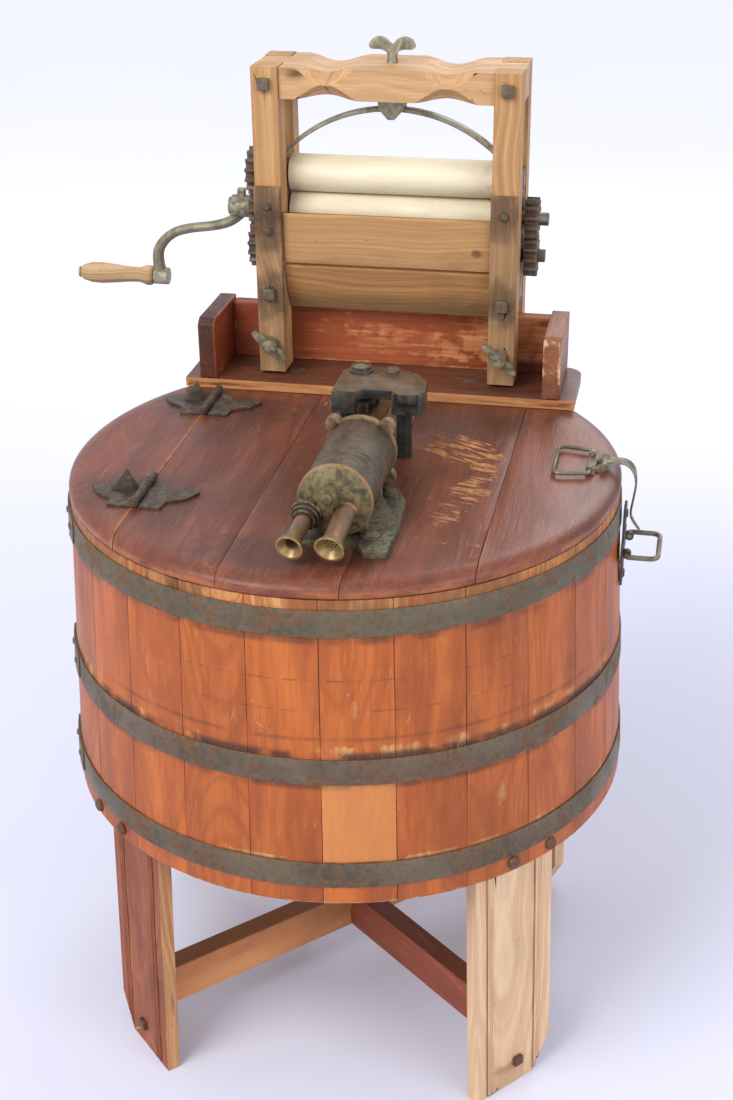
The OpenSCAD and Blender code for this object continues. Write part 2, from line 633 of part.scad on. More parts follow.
// Pipe nipple along -Y from the origin, with a flared lip and collars given as [place, radius, width]
module nipple(r, len, bore, collars) {
    lip = r + 5.5;
    rotate([90, 0, 0]) difference() {
        union() {
            translate([0, 0, 0.1]) cylinder(r = r, h = len - 0.1);
            translate([0, 0, len - 12]) cylinder(r1 = r, r2 = lip, h = 12);
            for (c = collars) translate([0, 0, c[0]]) cylinder(r = c[1], h = c[2]);
        }
        translate([0, 0, 8]) cylinder(r = bore, h = len);
        translate([0, 0, len - 8]) cylinder(r1 = bore, r2 = lip - 2.5, h = 8.1);
    }
}
sieve_pitch = 3.9;
module motor_nipples() {
    color(brass) placed() {
        at_inlet() nipple(9, 61, 6.5, [[0.1, nipple_ring_r, 5], [5, 15, 5], [10, 12.5, 4]]);
        at_outlet() {
            nipple(outlet_r, 62, 8, [[0.1, outlet_r + 1.5, 5]]);
            rotate([90, 0, 0]) translate([0, 0, 52]) difference() {
                cylinder(r = 8.2, h = 2);
                for (row = [-1 : 1], k = [0 : 3 - abs(row)])
                    translate([(k - (3 - abs(row)) / 2) * sieve_pitch, row * sieve_pitch * 0.87, -1])
                        cylinder(r = 1.3, h = 4, $fn = 24);
            }
        }
    }
}
bridge_legs = [[6, -4], [67, 12]];
bridge_t = 11;
bridge_top = 89;
module motor_screws() {
    color(iron) placed() {
        for (q = base_screws) translate([q[0], q[1], lid_z]) {
            translate([0, 0, -screw_in]) cylinder(r = base_screw_r, h = screw_in + base_t + 3 + seat);
            translate([0, 0, base_t + 3 + seat]) cylinder(r1 = 8, r2 = 5.5, h = 3.5);
        }
        at_motor() for (a = head_bolts) rotate([0, a, 0]) translate([motor_r + 4, 0, 0])
            rod_y(-motor_rear + 11 + seat, -motor_rear + 16, 6);
        translate([48, 46, lid_z + bridge_top + seat]) cylinder(r = 8, h = 5, $fn = 6);
    }
}
module bridge() {
    plate = [[-10, -14], [-10, 44], [0, 58], [26, 60], [50, 58], [76, 46], [92, 22], [94, -8], [84, -22], [66, -22],
             [58, -12], [24, -12], [16, -22], [-2, -22]];
    color(iron) placed() translate([0, 0, lid_z]) difference() {
        union() {
            translate([0, 0, bridge_top - bridge_t]) linear_extrude(bridge_t) polygon(plate);
            block(-10, 16, -22, 14, bridge_top - 26, bridge_top - 1);
            block(58, 92, -18, 22, bridge_top - 26, bridge_top - 1);
            translate([bridge_legs[0][0], bridge_legs[0][1], 0]) cylinder(r = 10, h = bridge_top - 2);
            translate([bridge_legs[1][0], bridge_legs[1][1], 0]) cylinder(r = 9, h = bridge_top - 2);
            translate([bridge_legs[0][0], bridge_legs[0][1], 0]) cylinder(r = 17, h = 5);
            translate([dolly_x, dolly_y, bridge_top - 31]) cylinder(r = 15, h = 31);
            translate([dolly_x, dolly_y, bridge_top - 1]) cylinder(r = 14, h = 4);
            translate([dolly_x, dolly_y, bridge_top - 1]) cylinder(r = 11.5, h = 8);
        }
        translate([dolly_x, dolly_y, -1]) cylinder(r = dolly_r + run_fit, h = 120);
    }
}
// The rod's rack meshes with the pinion on the dolly's shaft
pinion_n = 12;
pinion_pitch = 19;
rack_m = 2 * pinion_pitch / pinion_n;
rack_x = dolly_x + pinion_pitch;
rod_y1 = 122;
module piston_rod() {
    p = PI * rack_m;
    up = 0.8 * rack_m;
    down = 1.0 * rack_m;
    color(brass) placed() {
        difference() {
            at_motor() rod_y(-126, rod_y1, rod_r);
            block(motor_x - 20, rack_x - up, dolly_y - 36, rod_y1 + 1, motor_z - 20, motor_z + 20);
            for (k = [-3 : 7])
                translate([rack_x, dolly_y + k * p, motor_z - 12]) linear_extrude(24)
                    polygon([[-up - 1, -0.42 * p], [0, -0.30 * p], [down, -0.18 * p], [down, 0.18 * p], [0, 0.30 * p],
                             [-up - 1, 0.42 * p]]);
        }
        at_motor() rod_y(-134, -126, bore_r - 0.1);
    }
}
pinion_h = 16;
disc_t = 20;
disc_z = bottom_z + bottom_t + peg_gap + peg_h;
module dolly_shaft() {
    up = 0.8 * rack_m;
    down = 1.0 * rack_m;
    outline = [for (i = [0 : pinion_n - 1]) let (a = 360 * i / pinion_n, s = 360 / pinion_n)
        each [[pinion_pitch - down, a - 0.30 * s], [pinion_pitch, a - 0.19 * s], [pinion_pitch + up, a - 0.09 * s],
              [pinion_pitch + up, a + 0.09 * s], [pinion_pitch, a + 0.19 * s], [pinion_pitch - down, a + 0.30 * s]]];
    color(grey_metal) placed() translate([dolly_x, dolly_y, 0]) {
        translate([0, 0, disc_z - 12]) cylinder(r = dolly_r, h = lid_z + bridge_top + 6 - disc_z + 12);
        translate([0, 0, motor_z - pinion_h / 2]) linear_extrude(pinion_h)
            polygon([for (q = outline) q[0] * [cos(q[1]), sin(q[1])]]);
        translate([0, 0, disc_z - 12]) cylinder(r = 16, h = 6, $fn = 6);
    }
}
module dolly_disc() {
    peg_r = 13;
    color(pine) placed() translate([dolly_x, dolly_y, 0]) difference() {
        union() {
            translate([0, 0, disc_z]) cylinder(r = disc_r, h = disc_t);
            for (a = [0 : 90 : 270]) rotate([0, 0, a + 45]) translate([disc_r - 22, 0, disc_z - peg_h]) {
                cylinder(r = peg_r, h = peg_h + 1);
                sphere(r = peg_r);
            }
        }
        translate([0, 0, disc_z - 1]) cylinder(r = dolly_r + 0.1, h = disc_t + 2);
    }
}

// Wringer frame
post_z = shelf_z + 4;
clamp_x = 145;
clamp_z = shelf_z + 43;
top_bolt_z = post_top - 20;
low_bolt_z = roll_z - 93;
overlay_t = 8;
overlay_h = 237;
counter_z = roll_z - roll_pitch;
post_mid = post_x + post_w / 2;
bolt_rows = [top_bolt_z, low_bolt_z];
module posts(side) {
    color(pine) on_shelf() scale([side, 1, 1]) difference() {
        union() {
            block(post_x, post_x + post_w, post_y, slot_front, post_z, post_top);
            block(post_x, post_x + post_w, slot_back, slot_back + post_d - 4, post_z, post_top);
        }
        for (z = bolt_rows) translate([post_mid, 0, z]) rod_y(post_y - 5, slot_back + post_d + 5, bolt_r + seat);
        translate([clamp_x, 0, clamp_z]) rod_y(post_y - 5, slot_front + 5, bolt_r + run_fit);
    }
}
module posts_left() posts(-1);
module posts_right() posts(1);
module post_overlays() {
    color(pine) on_shelf() both_sides() difference() {
        block(post_x, post_x + post_w, post_y - seat - overlay_t, post_y - seat, post_z, post_z + overlay_h);
        translate([post_mid, 0, low_bolt_z]) rod_y(post_y - 20, post_y + 5, bolt_r + seat);
        translate([clamp_x, 0, clamp_z]) rod_y(post_y - 20, post_y + 5, bolt_r + 1);
    }
}
screw_r = 7;
beam_front = post_y + 4;
beam_back = 2 * roll_y - beam_front;
beam_z = post_top - 1 - beam_h;
waist_from = 35;
waist_to = 110;
waist_steps = 12;
waist_chamfer = 14;
waist_rise = 4;
waist_dip = 6;
// Thin slice of the beam; t runs from 0 to 1 along the scooped waist
module beam_slice(x, t) {
    deep = pow(sin(180 * t), 2);
    c = 0.05 + waist_chamfer * sin(180 * t);
    z0 = beam_z + waist_rise * deep;
    z1 = beam_z + beam_h - waist_dip * deep;
    translate([x, 0, 0]) rotate([90, 0, 90]) linear_extrude(0.02)
        polygon([[beam_front + c, z0], [beam_back - c, z0], [beam_back, z0 + c], [beam_back, z1 - c], [beam_back - c, z1],
                 [beam_front + c, z1], [beam_front, z1 - c], [beam_front, z0 + c]]);
}
module beam_half() {
    length = waist_to - waist_from;
    block(-eps, waist_from + 0.01, beam_front, beam_back, beam_z, beam_z + beam_h);
    for (i = [0 : waist_steps - 1]) hull() {
        beam_slice(waist_from + length * i / waist_steps, i / waist_steps);
        beam_slice(waist_from + length * (i + 1) / waist_steps, (i + 1) / waist_steps);
    }
    block(waist_to, post_x - seat, beam_front, beam_back, beam_z, beam_z + beam_h);
    block(waist_to, post_x + post_w, slot_front + seat, slot_back - seat, beam_z, beam_z + beam_h);
}
module top_beam() {
    color(pine) on_shelf() difference() {
        both_sides() beam_half();
        translate([0, roll_y, beam_z - 1]) cylinder(r = screw_r + run_fit, h = beam_h + 2);
        both_sides() translate([post_mid, 0, top_bolt_z]) rod_y(post_y, slot_back + post_d, bolt_r + seat);
    }
}
module apron_board() {
    color(pine) on_shelf() block(-post_x + seat, post_x - seat, post_y + 0.5, post_y + 8, counter_z - 9, roll_z + 8);
}
board_t = 9;
board_h = 64;
board_tilt = 22;
board_y = post_y + 18;
board_z = counter_z - 42;
module water_board() {
    color(pine) on_shelf() translate([0, board_y, board_z]) rotate([board_tilt, 0, 0]) {
        block(-post_x + 1, post_x - 1, -board_t / 2, board_t / 2, -board_h / 2, board_h / 2);
        rod_x(-post_x + 0.3, post_x - 0.3, 3.5);
    }
}
module lower_bearings() {
    color(iron) on_shelf() both_sides() difference() {
        block(post_x + 1, post_x + post_w - 1, slot_front + seat, slot_back - seat, low_bolt_z - 12, roll_z + 22);
        translate([post_x, roll_y, roll_z]) rod_x(-5, post_w + 5, shaft_r + run_fit);
        translate([post_x, roll_y, counter_z]) rod_x(-5, post_w + 5, shaft_r + run_fit);
        translate([post_mid, 0, low_bolt_z]) rod_y(post_y, slot_back + post_d, bolt_r + seat);
    }
}
carriage_top = 13;
module roll_carriages() {
    color(iron) on_shelf() both_sides() difference() {
        block(post_x + 1, post_x + post_w - 1, slot_front + seat, slot_back - seat, roll_z + 22 + seat,
              upper_z + carriage_top);
        translate([post_x, roll_y, upper_z]) rod_x(-5, post_w + 5, shaft_r + run_fit);
    }
}
module bolt_y_axis(x, z, y0, y1, head) {
    translate([x, 0, z]) rod_y(y0, y1, bolt_r);
    translate([x, y0, z]) rotate([90, 0, 0]) square_head(head, 6);
    translate([x, y1, z]) rotate([-90, 0, 0]) square_head(head, 6);
}
// Round screws in the overlays: side, and height above the lower roll's axis
overlay_screws = [[-1, 18], [-1, -13], [1, 17]];
module wringer_bolts() {
    back = slot_back + post_d - 4 + seat;
    color(iron) on_shelf() {
        both_sides() {
            bolt_y_axis(post_mid, top_bolt_z, post_y - seat, back, 14);
            bolt_y_axis(post_mid, low_bolt_z, post_y - 2 * seat - overlay_t, back, 14);
        }
        for (q = overlay_screws)
            translate([q[0] * post_mid, post_y - 2 * seat - overlay_t, roll_z + q[1]]) rotate([90, 0, 0])
                cylinder(r1 = 6, r2 = 4, h = 4);
    }
    color(iron) placed() for (s = [-1, 1]) translate([s * bolt_x, bolt_y, top_z - 12]) {
        cylinder(r = bolt_r, h = shelf_z - 5 - top_z + 12);
        translate([0, 0, shelf_z - 5 - top_z + 12]) cylinder(r1 = bolt_r, r2 = 10, h = 5);
        translate([0, 0, -2]) square_head(15, 7);
    }
}

// Pressure gear of the wringer
spring_w = 14;
spring_end = post_x + 13;
spring_low = upper_z + carriage_top + seat;
spring_top = beam_z - 15;
spring_sag = spring_top - spring_t - spring_low;
spring_arc_r = (spring_end * spring_end + spring_sag * spring_sag) / (2 * spring_sag);
module bow_spring() {
    reach = asin(spring_end / spring_arc_r);
    color(grey_metal) on_shelf() translate([0, roll_y, spring_top - spring_t - spring_arc_r]) rotate([90, 0, 0])
        rotate([0, 0, 90 - reach]) rotate_extrude(angle = 2 * reach, $fn = 180)
            translate([spring_arc_r, -spring_w / 2]) square([spring_t, spring_w]);
}
module spring_follower() {
    low = spring_top + seat;
    high = beam_z - seat;
    color(grey_metal) on_shelf() translate([0, roll_y, 0]) difference() {
        union() {
            block(-15, 15, -spring_w / 2 - 5, spring_w / 2 + 5, low, high);
            for (s = [-1, 1]) translate([0, s * (spring_w / 2 + 2.9) + 2.1, 0]) rotate([90, 0, 0]) linear_extrude(4.2)
                polygon([[-17, high], [-15, low - 2], [-4, low - 14], [4, low - 14], [15, low - 2], [17, high]]);
        }
        translate([0, 0, low - 1]) cylinder(r = 4 + run_fit, h = 30);
    }
}
horn_t = 6;
// Right half of the horn on the pressure screw, from its neck over the arm's tip to the middle of the crotch
horn_half = [[6.4, 9], [6.6, 12.5], [14, 15.4], [21, 15.6], [26, 16.4], [28, 20], [24.5, 26.5], [17, 30], [8, 28.2],
             [3, 23.6], [0, 21]];
module pressure_screw() {
    outer = curve(horn_half, 3);
    back = [for (i = [len(outer) - 2 : -1 : 0]) [-outer[i][0], outer[i][1]]];
    color(grey_metal) on_shelf() translate([0, roll_y, 0]) {
        translate([0, 0, spring_top + seat + 1]) cylinder(r = 4, h = beam_z - spring_top);
        translate([0, 0, beam_z + 0.2]) cylinder(r = screw_r, h = beam_h);
        translate([0, 0, beam_z + beam_h + 0.1]) cylinder(r1 = screw_r, r2 = 5, h = 12);
        translate([0, horn_t / 2, beam_z + beam_h]) rotate([90, 0, 0]) linear_extrude(horn_t) polygon(concat(outer, back));
    }
}

// Rolls and gears
gear_x = post_x + post_w + 3;
module at_roll(z) translate([0, roll_y, z]) children();
module upper_roll() {
    color(cream) on_shelf() at_roll(upper_z) {
        rod_x(-roll_x, roll_x, roll_r);
        rod_x(-gear_x - gear_w - 3, post_x + post_w, shaft_r);
    }
}
module lower_roll() {
    color(cream) on_shelf() at_roll(roll_z) {
        rod_x(-roll_x, roll_x, roll_r);
        rod_x(-crank_x - 26, gear_x + gear_w + 12, shaft_r);
    }
}
module upper_gear() color(iron) on_shelf() at_roll(upper_z) gear(-gear_x - gear_w, 14, 90 / 7, shaft_r + run_fit);
module lower_gear() color(iron) on_shelf() at_roll(roll_z) gear(gear_x, 12, 15, shaft_r + run_fit);
module crank_pinion() color(iron) on_shelf() at_roll(roll_z) gear(-gear_x - gear_w, 10, 0, shaft_r + run_fit);
module counter_shaft() {
    color(iron) on_shelf() at_roll(counter_z) {
        rod_x(-gear_x - gear_w - 3, gear_x + gear_w + 9, shaft_r);
        gear(-gear_x - gear_w, 14, 90 / 7, shaft_r);
        gear(gear_x, 12, 0, shaft_r);
    }
}
crank_x = gear_x + gear_w + 0.5;
arm_points = [[-12, -6], [-28, -20], [-50, -27], [-77, -31], [-100, -37], [-116, -48], [-126, -63], [-127, -81],
              [-124, -97]];
arm_half = [9, 7, 6.5, 6.5, 6.5, 7, 7.5, 8, 9];
boss_x = crank_x + 124;
module crank_arm() {
    n = 3;
    p = curve(arm_points, n);
    half = [for (k = [0 : len(p) - 1]) mix_at(arm_half, n, k)];
    drawn_r = -arm_points[len(arm_points) - 1][1];
    color(grey_metal) on_shelf() at_roll(roll_z) {
        difference() {
            union() {
                rod_x(-crank_x - 24, -crank_x, 14);
                rod_x(-crank_x - 28, -crank_x - 24, 11);
                sweep([for (q = p) [q[0] - crank_x, 0, q[1] * crank_r / drawn_r]], [0, 1, 0], half, 0.95 * half);
                translate([0, 0, -crank_r]) rod_x(-boss_x - 9, -boss_x + 9, 11);
            }
            rod_x(-crank_x - 60, -crank_x + 10, shaft_r + run_fit);
        }
        translate([-crank_x - 12, 0, 14 - 0.5]) square_head(9, 9);
        translate([0, 0, -crank_r]) rod_x(-boss_x - 112, -boss_x - 8, 4);
        translate([0, 0, -crank_r]) rod_x(-boss_x - 112, -boss_x - 109.5, 7);
    }
}
grip_profile = [[0, 9.5], [3, 12.5], [8, 13.2], [13, 11.5], [20, 9.5], [34, 10], [52, 12], [70, 13.5], [84, 13],
                [95, 10], [98, 8]];
module crank_grip() {
    pts = concat([[4.05, 0]], [for (q = grip_profile) [q[1], q[0]]], [[4.05, 98]]);
    color(pine) on_shelf() at_roll(roll_z - crank_r) translate([-boss_x - 10.5, 0, 0]) rotate([0, -90, 0])
        rotate_extrude() polygon(pts);
}

// Clamps that hold the wringer to the back board
foot_y = back_y - seat;
module clamp_screw(side) {
    lean = -40;
    wing = [[-27, 2], [-16, 6], [-8, 5], [0, 9], [8, 5], [16, 6], [27, 2], [27, -2], [16, -5], [0, -7], [-16, -5], [-27, -2]];
    color(grey_metal) on_shelf() translate([side * clamp_x, 0, clamp_z]) {
        rod_y(post_y - overlay_t - 18, foot_y - 5, bolt_r);
        rod_y(post_y - overlay_t - 20, post_y - overlay_t - 3, 9);
        translate([0, post_y - overlay_t - 13, 0]) rotate([0, -lean, 0]) rotate([90, 0, 0]) linear_extrude(6) polygon(wing);
    }
}
module clamp_foot(side) {
    color(iron) on_shelf() translate([side * clamp_x, 0, clamp_z]) difference() {
        rod_y(foot_y - 12, foot_y, 11);
        rod_y(foot_y - 13, foot_y - 4.9, bolt_r + run_fit);
    }
}
module clamp_screw_left() clamp_screw(-1);
module clamp_screw_right() clamp_screw(1);
module clamp_foot_left() clamp_foot(-1);
module clamp_foot_right() clamp_foot(1);

tub_staves();
tub_bottom();
tub_hoops();
leg_front_right();
leg_front_left();
leg_back_right();
leg_back_left();
leg_bolts();
brace_right();
brace_left();
lid_rear_segment();
lid_left_segment();
lid_boards();
lid_battens();
shelf_plank();
back_board();
end_board_left();
end_board_right();
hinge_leaves_fixed();
hinge_leaves_lid();
handle_brackets();
bail_right();
bail_left();
latch_base();
latch_strap();
lid_loop();
motor_base();
motor_barrel();
motor_front_head();
motor_rear_head();
motor_nipples();
motor_screws();
bridge();
piston_rod();
dolly_shaft();
dolly_disc();
posts_left();
posts_right();
post_overlays();
top_beam();
apron_board();
water_board();
lower_bearings();
roll_carriages();
wringer_bolts();
bow_spring();
spring_follower();
pressure_screw();
upper_roll();
lower_roll();
upper_gear();
lower_gear();
counter_shaft();
crank_pinion();
crank_arm();
crank_grip();
clamp_screw_left();
clamp_screw_right();
clamp_foot_left();
clamp_foot_right();
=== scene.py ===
"""Looks of the wooden tub washing machine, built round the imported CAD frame. Lengths are metres."""
import json
import math
import random

import bmesh
import bpy
from mathutils import Matrix, Vector, noise

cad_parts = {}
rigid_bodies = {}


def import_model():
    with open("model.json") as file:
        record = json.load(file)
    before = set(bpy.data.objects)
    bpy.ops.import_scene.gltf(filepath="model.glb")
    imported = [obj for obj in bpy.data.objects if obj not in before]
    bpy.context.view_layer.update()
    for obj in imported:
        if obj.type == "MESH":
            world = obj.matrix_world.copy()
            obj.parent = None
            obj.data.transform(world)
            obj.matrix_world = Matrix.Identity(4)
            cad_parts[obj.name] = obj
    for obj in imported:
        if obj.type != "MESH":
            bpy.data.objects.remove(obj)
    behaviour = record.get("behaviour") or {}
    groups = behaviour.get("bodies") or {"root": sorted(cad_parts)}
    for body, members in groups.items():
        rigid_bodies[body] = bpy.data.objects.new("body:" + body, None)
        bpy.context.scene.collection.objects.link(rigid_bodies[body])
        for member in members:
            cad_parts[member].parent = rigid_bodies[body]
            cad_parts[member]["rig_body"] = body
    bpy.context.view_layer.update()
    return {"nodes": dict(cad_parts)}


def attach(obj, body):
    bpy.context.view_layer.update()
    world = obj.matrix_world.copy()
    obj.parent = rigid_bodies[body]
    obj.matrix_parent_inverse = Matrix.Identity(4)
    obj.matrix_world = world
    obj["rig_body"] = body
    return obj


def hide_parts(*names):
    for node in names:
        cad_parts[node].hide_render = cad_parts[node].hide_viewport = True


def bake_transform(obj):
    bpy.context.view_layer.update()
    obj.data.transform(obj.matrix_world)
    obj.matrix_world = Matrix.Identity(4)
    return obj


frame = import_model()
NODES = frame["nodes"]

AXIS_X = 0.022                 # the tub's axis
WRINGER_X = 0.028              # the wringer's middle
ROLL_END = 0.127               # half length of the rolls' covering
LID_Z = 0.725
TUB_TOP = 0.707
TUB_LOW = 0.341
TOP_R = 0.3164
STAVE_ANGLE = 2 * math.pi / 26


def rgb(r, g, b):
    """A colour as the eye reads it, 0 to 255, as linear light."""
    def channel(v):
        v /= 255
        return v / 12.92 if v <= 0.04045 else ((v + 0.055) / 1.055) ** 2.4
    return channel(r), channel(g), channel(b), 1.0


# Shaders

class Shader:
    """A node material; its methods return sockets."""

    def __init__(self, name):
        self.mat = bpy.data.materials.new(name)
        self.mat.use_nodes = True
        self.tree = self.mat.node_tree
        self.bsdf = self.tree.nodes["Principled BSDF"]

    def put(self, socket, value):
        if isinstance(value, bpy.types.NodeSocket):
            self.tree.links.new(value, socket)
        elif isinstance(value, (int, float)) and socket.type in ("VECTOR", "RGBA"):
            socket.default_value = [value] * 3 + ([1.0] if socket.type == "RGBA" else [])
        else:
            socket.default_value = value

    def node(self, kind, out=0, attrs=None, **inputs):
        n = self.tree.nodes.new("ShaderNode" + kind)
        for key, value in (attrs or {}).items():
            setattr(n, key, value)
        for key, value in inputs.items():
            self.put(n.inputs[int(key[1:]) if key[1:].isdigit() else key.replace("_", " ")], value)
        return n.outputs[out]

    def attribute(self, name, out="Fac"):
        return self.node("Attribute", out, {"attribute_name": name})

    def place(self):
        return self.node("TexCoord", "Object")

    def part(self, vector, axis):
        return self.node("SeparateXYZ", axis, Vector=vector)

    def vector(self, x, y, z):
        return self.node("CombineXYZ", X=x, Y=y, Z=z)

    def scaled(self, vector, scale):
        return self.node("VectorMath", attrs={"operation": "MULTIPLY"}, i0=vector, i1=scale)

    def noise(self, vector, scale=1.0, detail=4.0, rough=0.55, twist=0.0):
        return self.node("TexNoise", "Fac", Vector=vector, Scale=scale, Detail=detail, Roughness=rough, Distortion=twist)

    def cells(self, vector, scale=1.0, feature="DISTANCE_TO_EDGE"):
        return self.node("TexVoronoi", "Distance", {"feature": feature}, Vector=vector, Scale=scale)

    def span(self, value, a, b, c=0.0, d=1.0, smooth=True):
        attrs = {"interpolation_type": "SMOOTHSTEP" if smooth else "LINEAR"}
        return self.node("MapRange", 0, attrs, Value=value, i1=a, i2=b, i3=c, i4=d)

    def math(self, op, a, b=0.0):
        return self.node("Math", 0, {"operation": op}, i0=a, i1=b)

    def mul(self, *values):
        out = values[0]
        for v in values[1:]:
            out = self.math("MULTIPLY", out, v)
        return out

    def add(self, *values):
        out = values[0]
        for v in values[1:]:
            out = self.math("ADD", out, v)
        return out

    def either(self, *values):
        out = values[0]
        for v in values[1:]:
            out = self.math("MAXIMUM", out, v)
        return out

    def ramp(self, value, stops):
        n = self.tree.nodes.new("ShaderNodeValToRGB")
        self.put(n.inputs[0], value)
        e = n.color_ramp.elements
        e[0].position, e[0].color = stops[0]
        e[1].position, e[1].color = stops[-1]
        for at, color in stops[1:-1]:
            e.new(at).color = color
        return n.outputs[0]

    def mix(self, fac, a, b, mode="MIX"):
        n = self.tree.nodes.new("ShaderNodeMix")
        n.data_type = "RGBA"
        n.blend_type = mode
        self.put(n.inputs[0], fac)
        self.put(n.inputs[6], a)
        self.put(n.inputs[7], b)
        return n.outputs[2]

    def blob(self, centre, size, soft=0.35, ragged=0.25, scale=60.0, turn=0.0):
        """1 inside an oval patch with a ragged edge."""
        moved = self.node("VectorMath", attrs={"operation": "SUBTRACT"}, i0=self.place(), i1=centre)
        if turn:
            moved = self.node("VectorRotate", attrs={"rotation_type": "Z_AXIS"}, Vector=moved, Angle=turn)
        flat = self.node("VectorMath", attrs={"operation": "DIVIDE"}, i0=moved, i1=size)
        far = self.node("VectorMath", "Value", {"operation": "LENGTH"}, i0=flat)
        edge = self.span(self.noise(self.place(), scale), 0.25, 0.75, -ragged, ragged, False)
        return self.span(self.add(far, edge), 1.0 + soft, 1.0 - soft)

    def band(self, axis, a, b, soft):
        """1 between a and b along an axis of the part."""
        v = self.part(self.place(), axis)
        return self.mul(self.span(v, a - soft, a + soft), self.span(v, b + soft, b - soft))

    def finish(self, color, rough, height=None, depth=0.0004, metallic=0.0, **more):
        self.put(self.bsdf.inputs["Base Color"], color)
        self.put(self.bsdf.inputs["Roughness"], rough)
        self.put(self.bsdf.inputs["Metallic"], metallic)
        for key, value in more.items():
            self.put(self.bsdf.inputs[key.replace("_", " ")], value)
        if height is not None:
            self.put(self.bsdf.inputs["Normal"], self.node("Bump", Strength=1.0, Distance=depth, Height=height))
        return self.mat


def wood(name, pale, mid, dark, coat=None, coat_deep=None, cover=0.75, worn=0.5, soil=0.3, marks=(), tints=(),
         rings=1.0, tone=0.5, gloss=(0.48, 0.72), scars=0.4):
    """Bare or painted old wood. coat is a paint or stain; wear and the marks rub it off. A tint is (mask, colour)."""
    s = Shader(name)
    g = s.attribute("grain", "Vector")
    wear = s.attribute("wear")
    shade = s.attribute("tone")
    seed = s.math("MULTIPLY", shade, 40.0)
    along, across, deep = (s.part(g, k) for k in "XYZ")
    drift = s.noise(s.vector(s.mul(along, 2.1), seed, 0.0), 1.0, 2.0)
    pith = s.add(s.span(drift, 0.2, 0.8, 0.008, 0.075, False), deep)
    sway = s.span(s.noise(s.vector(s.mul(along, 7.0), s.mul(across, 12.0), seed), 1.0, 2.0), 0, 1, -0.008, 0.008, False)
    side = s.math("ADD", across, sway)
    radius = s.math("SQRT", s.add(s.mul(side, side), s.mul(pith, pith)))
    ring = s.noise(s.vector(s.mul(radius, 210.0), s.mul(along, 0.8), seed), 1.0, 2.5, 0.6)
    fibre = s.noise(s.scaled(g, (20, 1000, 1000)), 1.0, 4.0, 0.65)
    streak = s.noise(s.scaled(g, (4, 170, 170)), 1.0, 4.0, 0.6)
    late = s.mul(s.span(ring, 0.44, 0.60), rings)
    color = s.mix(s.span(ring, 0.30, 0.52), pale, mid)
    color = s.mix(s.mul(late, 0.65), color, dark)
    color = s.mix(s.span(streak, 0.45, 0.75, 0.0, 0.30), color, dark)
    color = s.mix(s.span(fibre, 0.40, 0.70, 0.0, 0.34), color, dark)
    dull, lit = (0.74, 0.72, 0.70, 1), (1.22, 1.20, 1.16, 1)
    color = s.mix(tone, color, s.mix(shade, dull, lit), "MULTIPLY")
    rough = s.span(fibre, 0.3, 0.8, gloss[1] - 0.08, gloss[1] + 0.08)
    bare = None
    cloudy = s.noise(s.scaled(g, (8, 22, 22)), 1.0, 5.0, 0.6)
    if coat is not None:
        rubbed = s.noise(s.scaled(g, (12, 170, 170)), 1.0, 4.0, 0.65)
        off = s.add(s.mul(wear, worn), s.span(rubbed, 0.3, 0.8, -0.22, 0.26, False),
                    s.span(cloudy, 0.3, 0.75, -0.18, 0.36, False), *[mark(s) for mark in marks])
        bare = s.span(off, cover - 0.20, cover + 0.14)
        painted = s.mix(s.span(s.noise(s.scaled(g, (5, 24, 24)), 1.0, 4.0, 0.6), 0.33, 0.70), coat, coat_deep)
        painted = s.mix(s.mul(late, 0.55), painted, coat_deep)
        painted = s.mix(s.span(streak, 0.45, 0.72, 0.0, 0.55), painted, coat_deep)
        painted = s.mix(s.span(fibre, 0.50, 0.72, 0.0, 0.35), painted, color)
        painted = s.mix(tone, painted, s.mix(shade, dull, lit), "MULTIPLY")
        color = s.mix(bare, painted, color)
        rough = s.add(s.span(bare, 0, 1, gloss[0], gloss[1], False), s.span(cloudy, 0.3, 0.7, -0.06, 0.08, False))
    for mask, tint in tints:
        color = s.mix(mask(s), color, tint)
    grime = s.noise(s.scaled(g, (5, 11, 11)), 1.0, 6.0, 0.62)
    color = s.mix(s.span(grime, 0.52, 0.76, 0.0, soil), color, rgb(70, 48, 34))
    specks = s.cells(s.scaled(g, (0.55, 1, 1)), 210.0, "F1")
    speck = s.mul(s.span(specks, 0.20, 0.10), s.span(s.noise(g, 48.0, 2.0), 0.62, 0.70), 0.6)
    color = s.mix(speck, color, rgb(52, 34, 24))
    scratch = s.cells(s.scaled(g, (9, 150, 90)))
    scratch = s.mul(s.span(scratch, 0.022, 0.0), s.span(s.noise(g, 30.0), 0.55, 0.64), scars)
    color = s.mix(scratch, color, pale)
    height = s.add(s.mul(fibre, 0.40), s.mul(late, 0.25), s.mul(grime, 0.4))
    if bare is not None:
        height = s.math("SUBTRACT", height, s.mul(bare, 0.4))
    return s.finish(color, rough, height, 0.0005, Specular_IOR_Level=0.32)


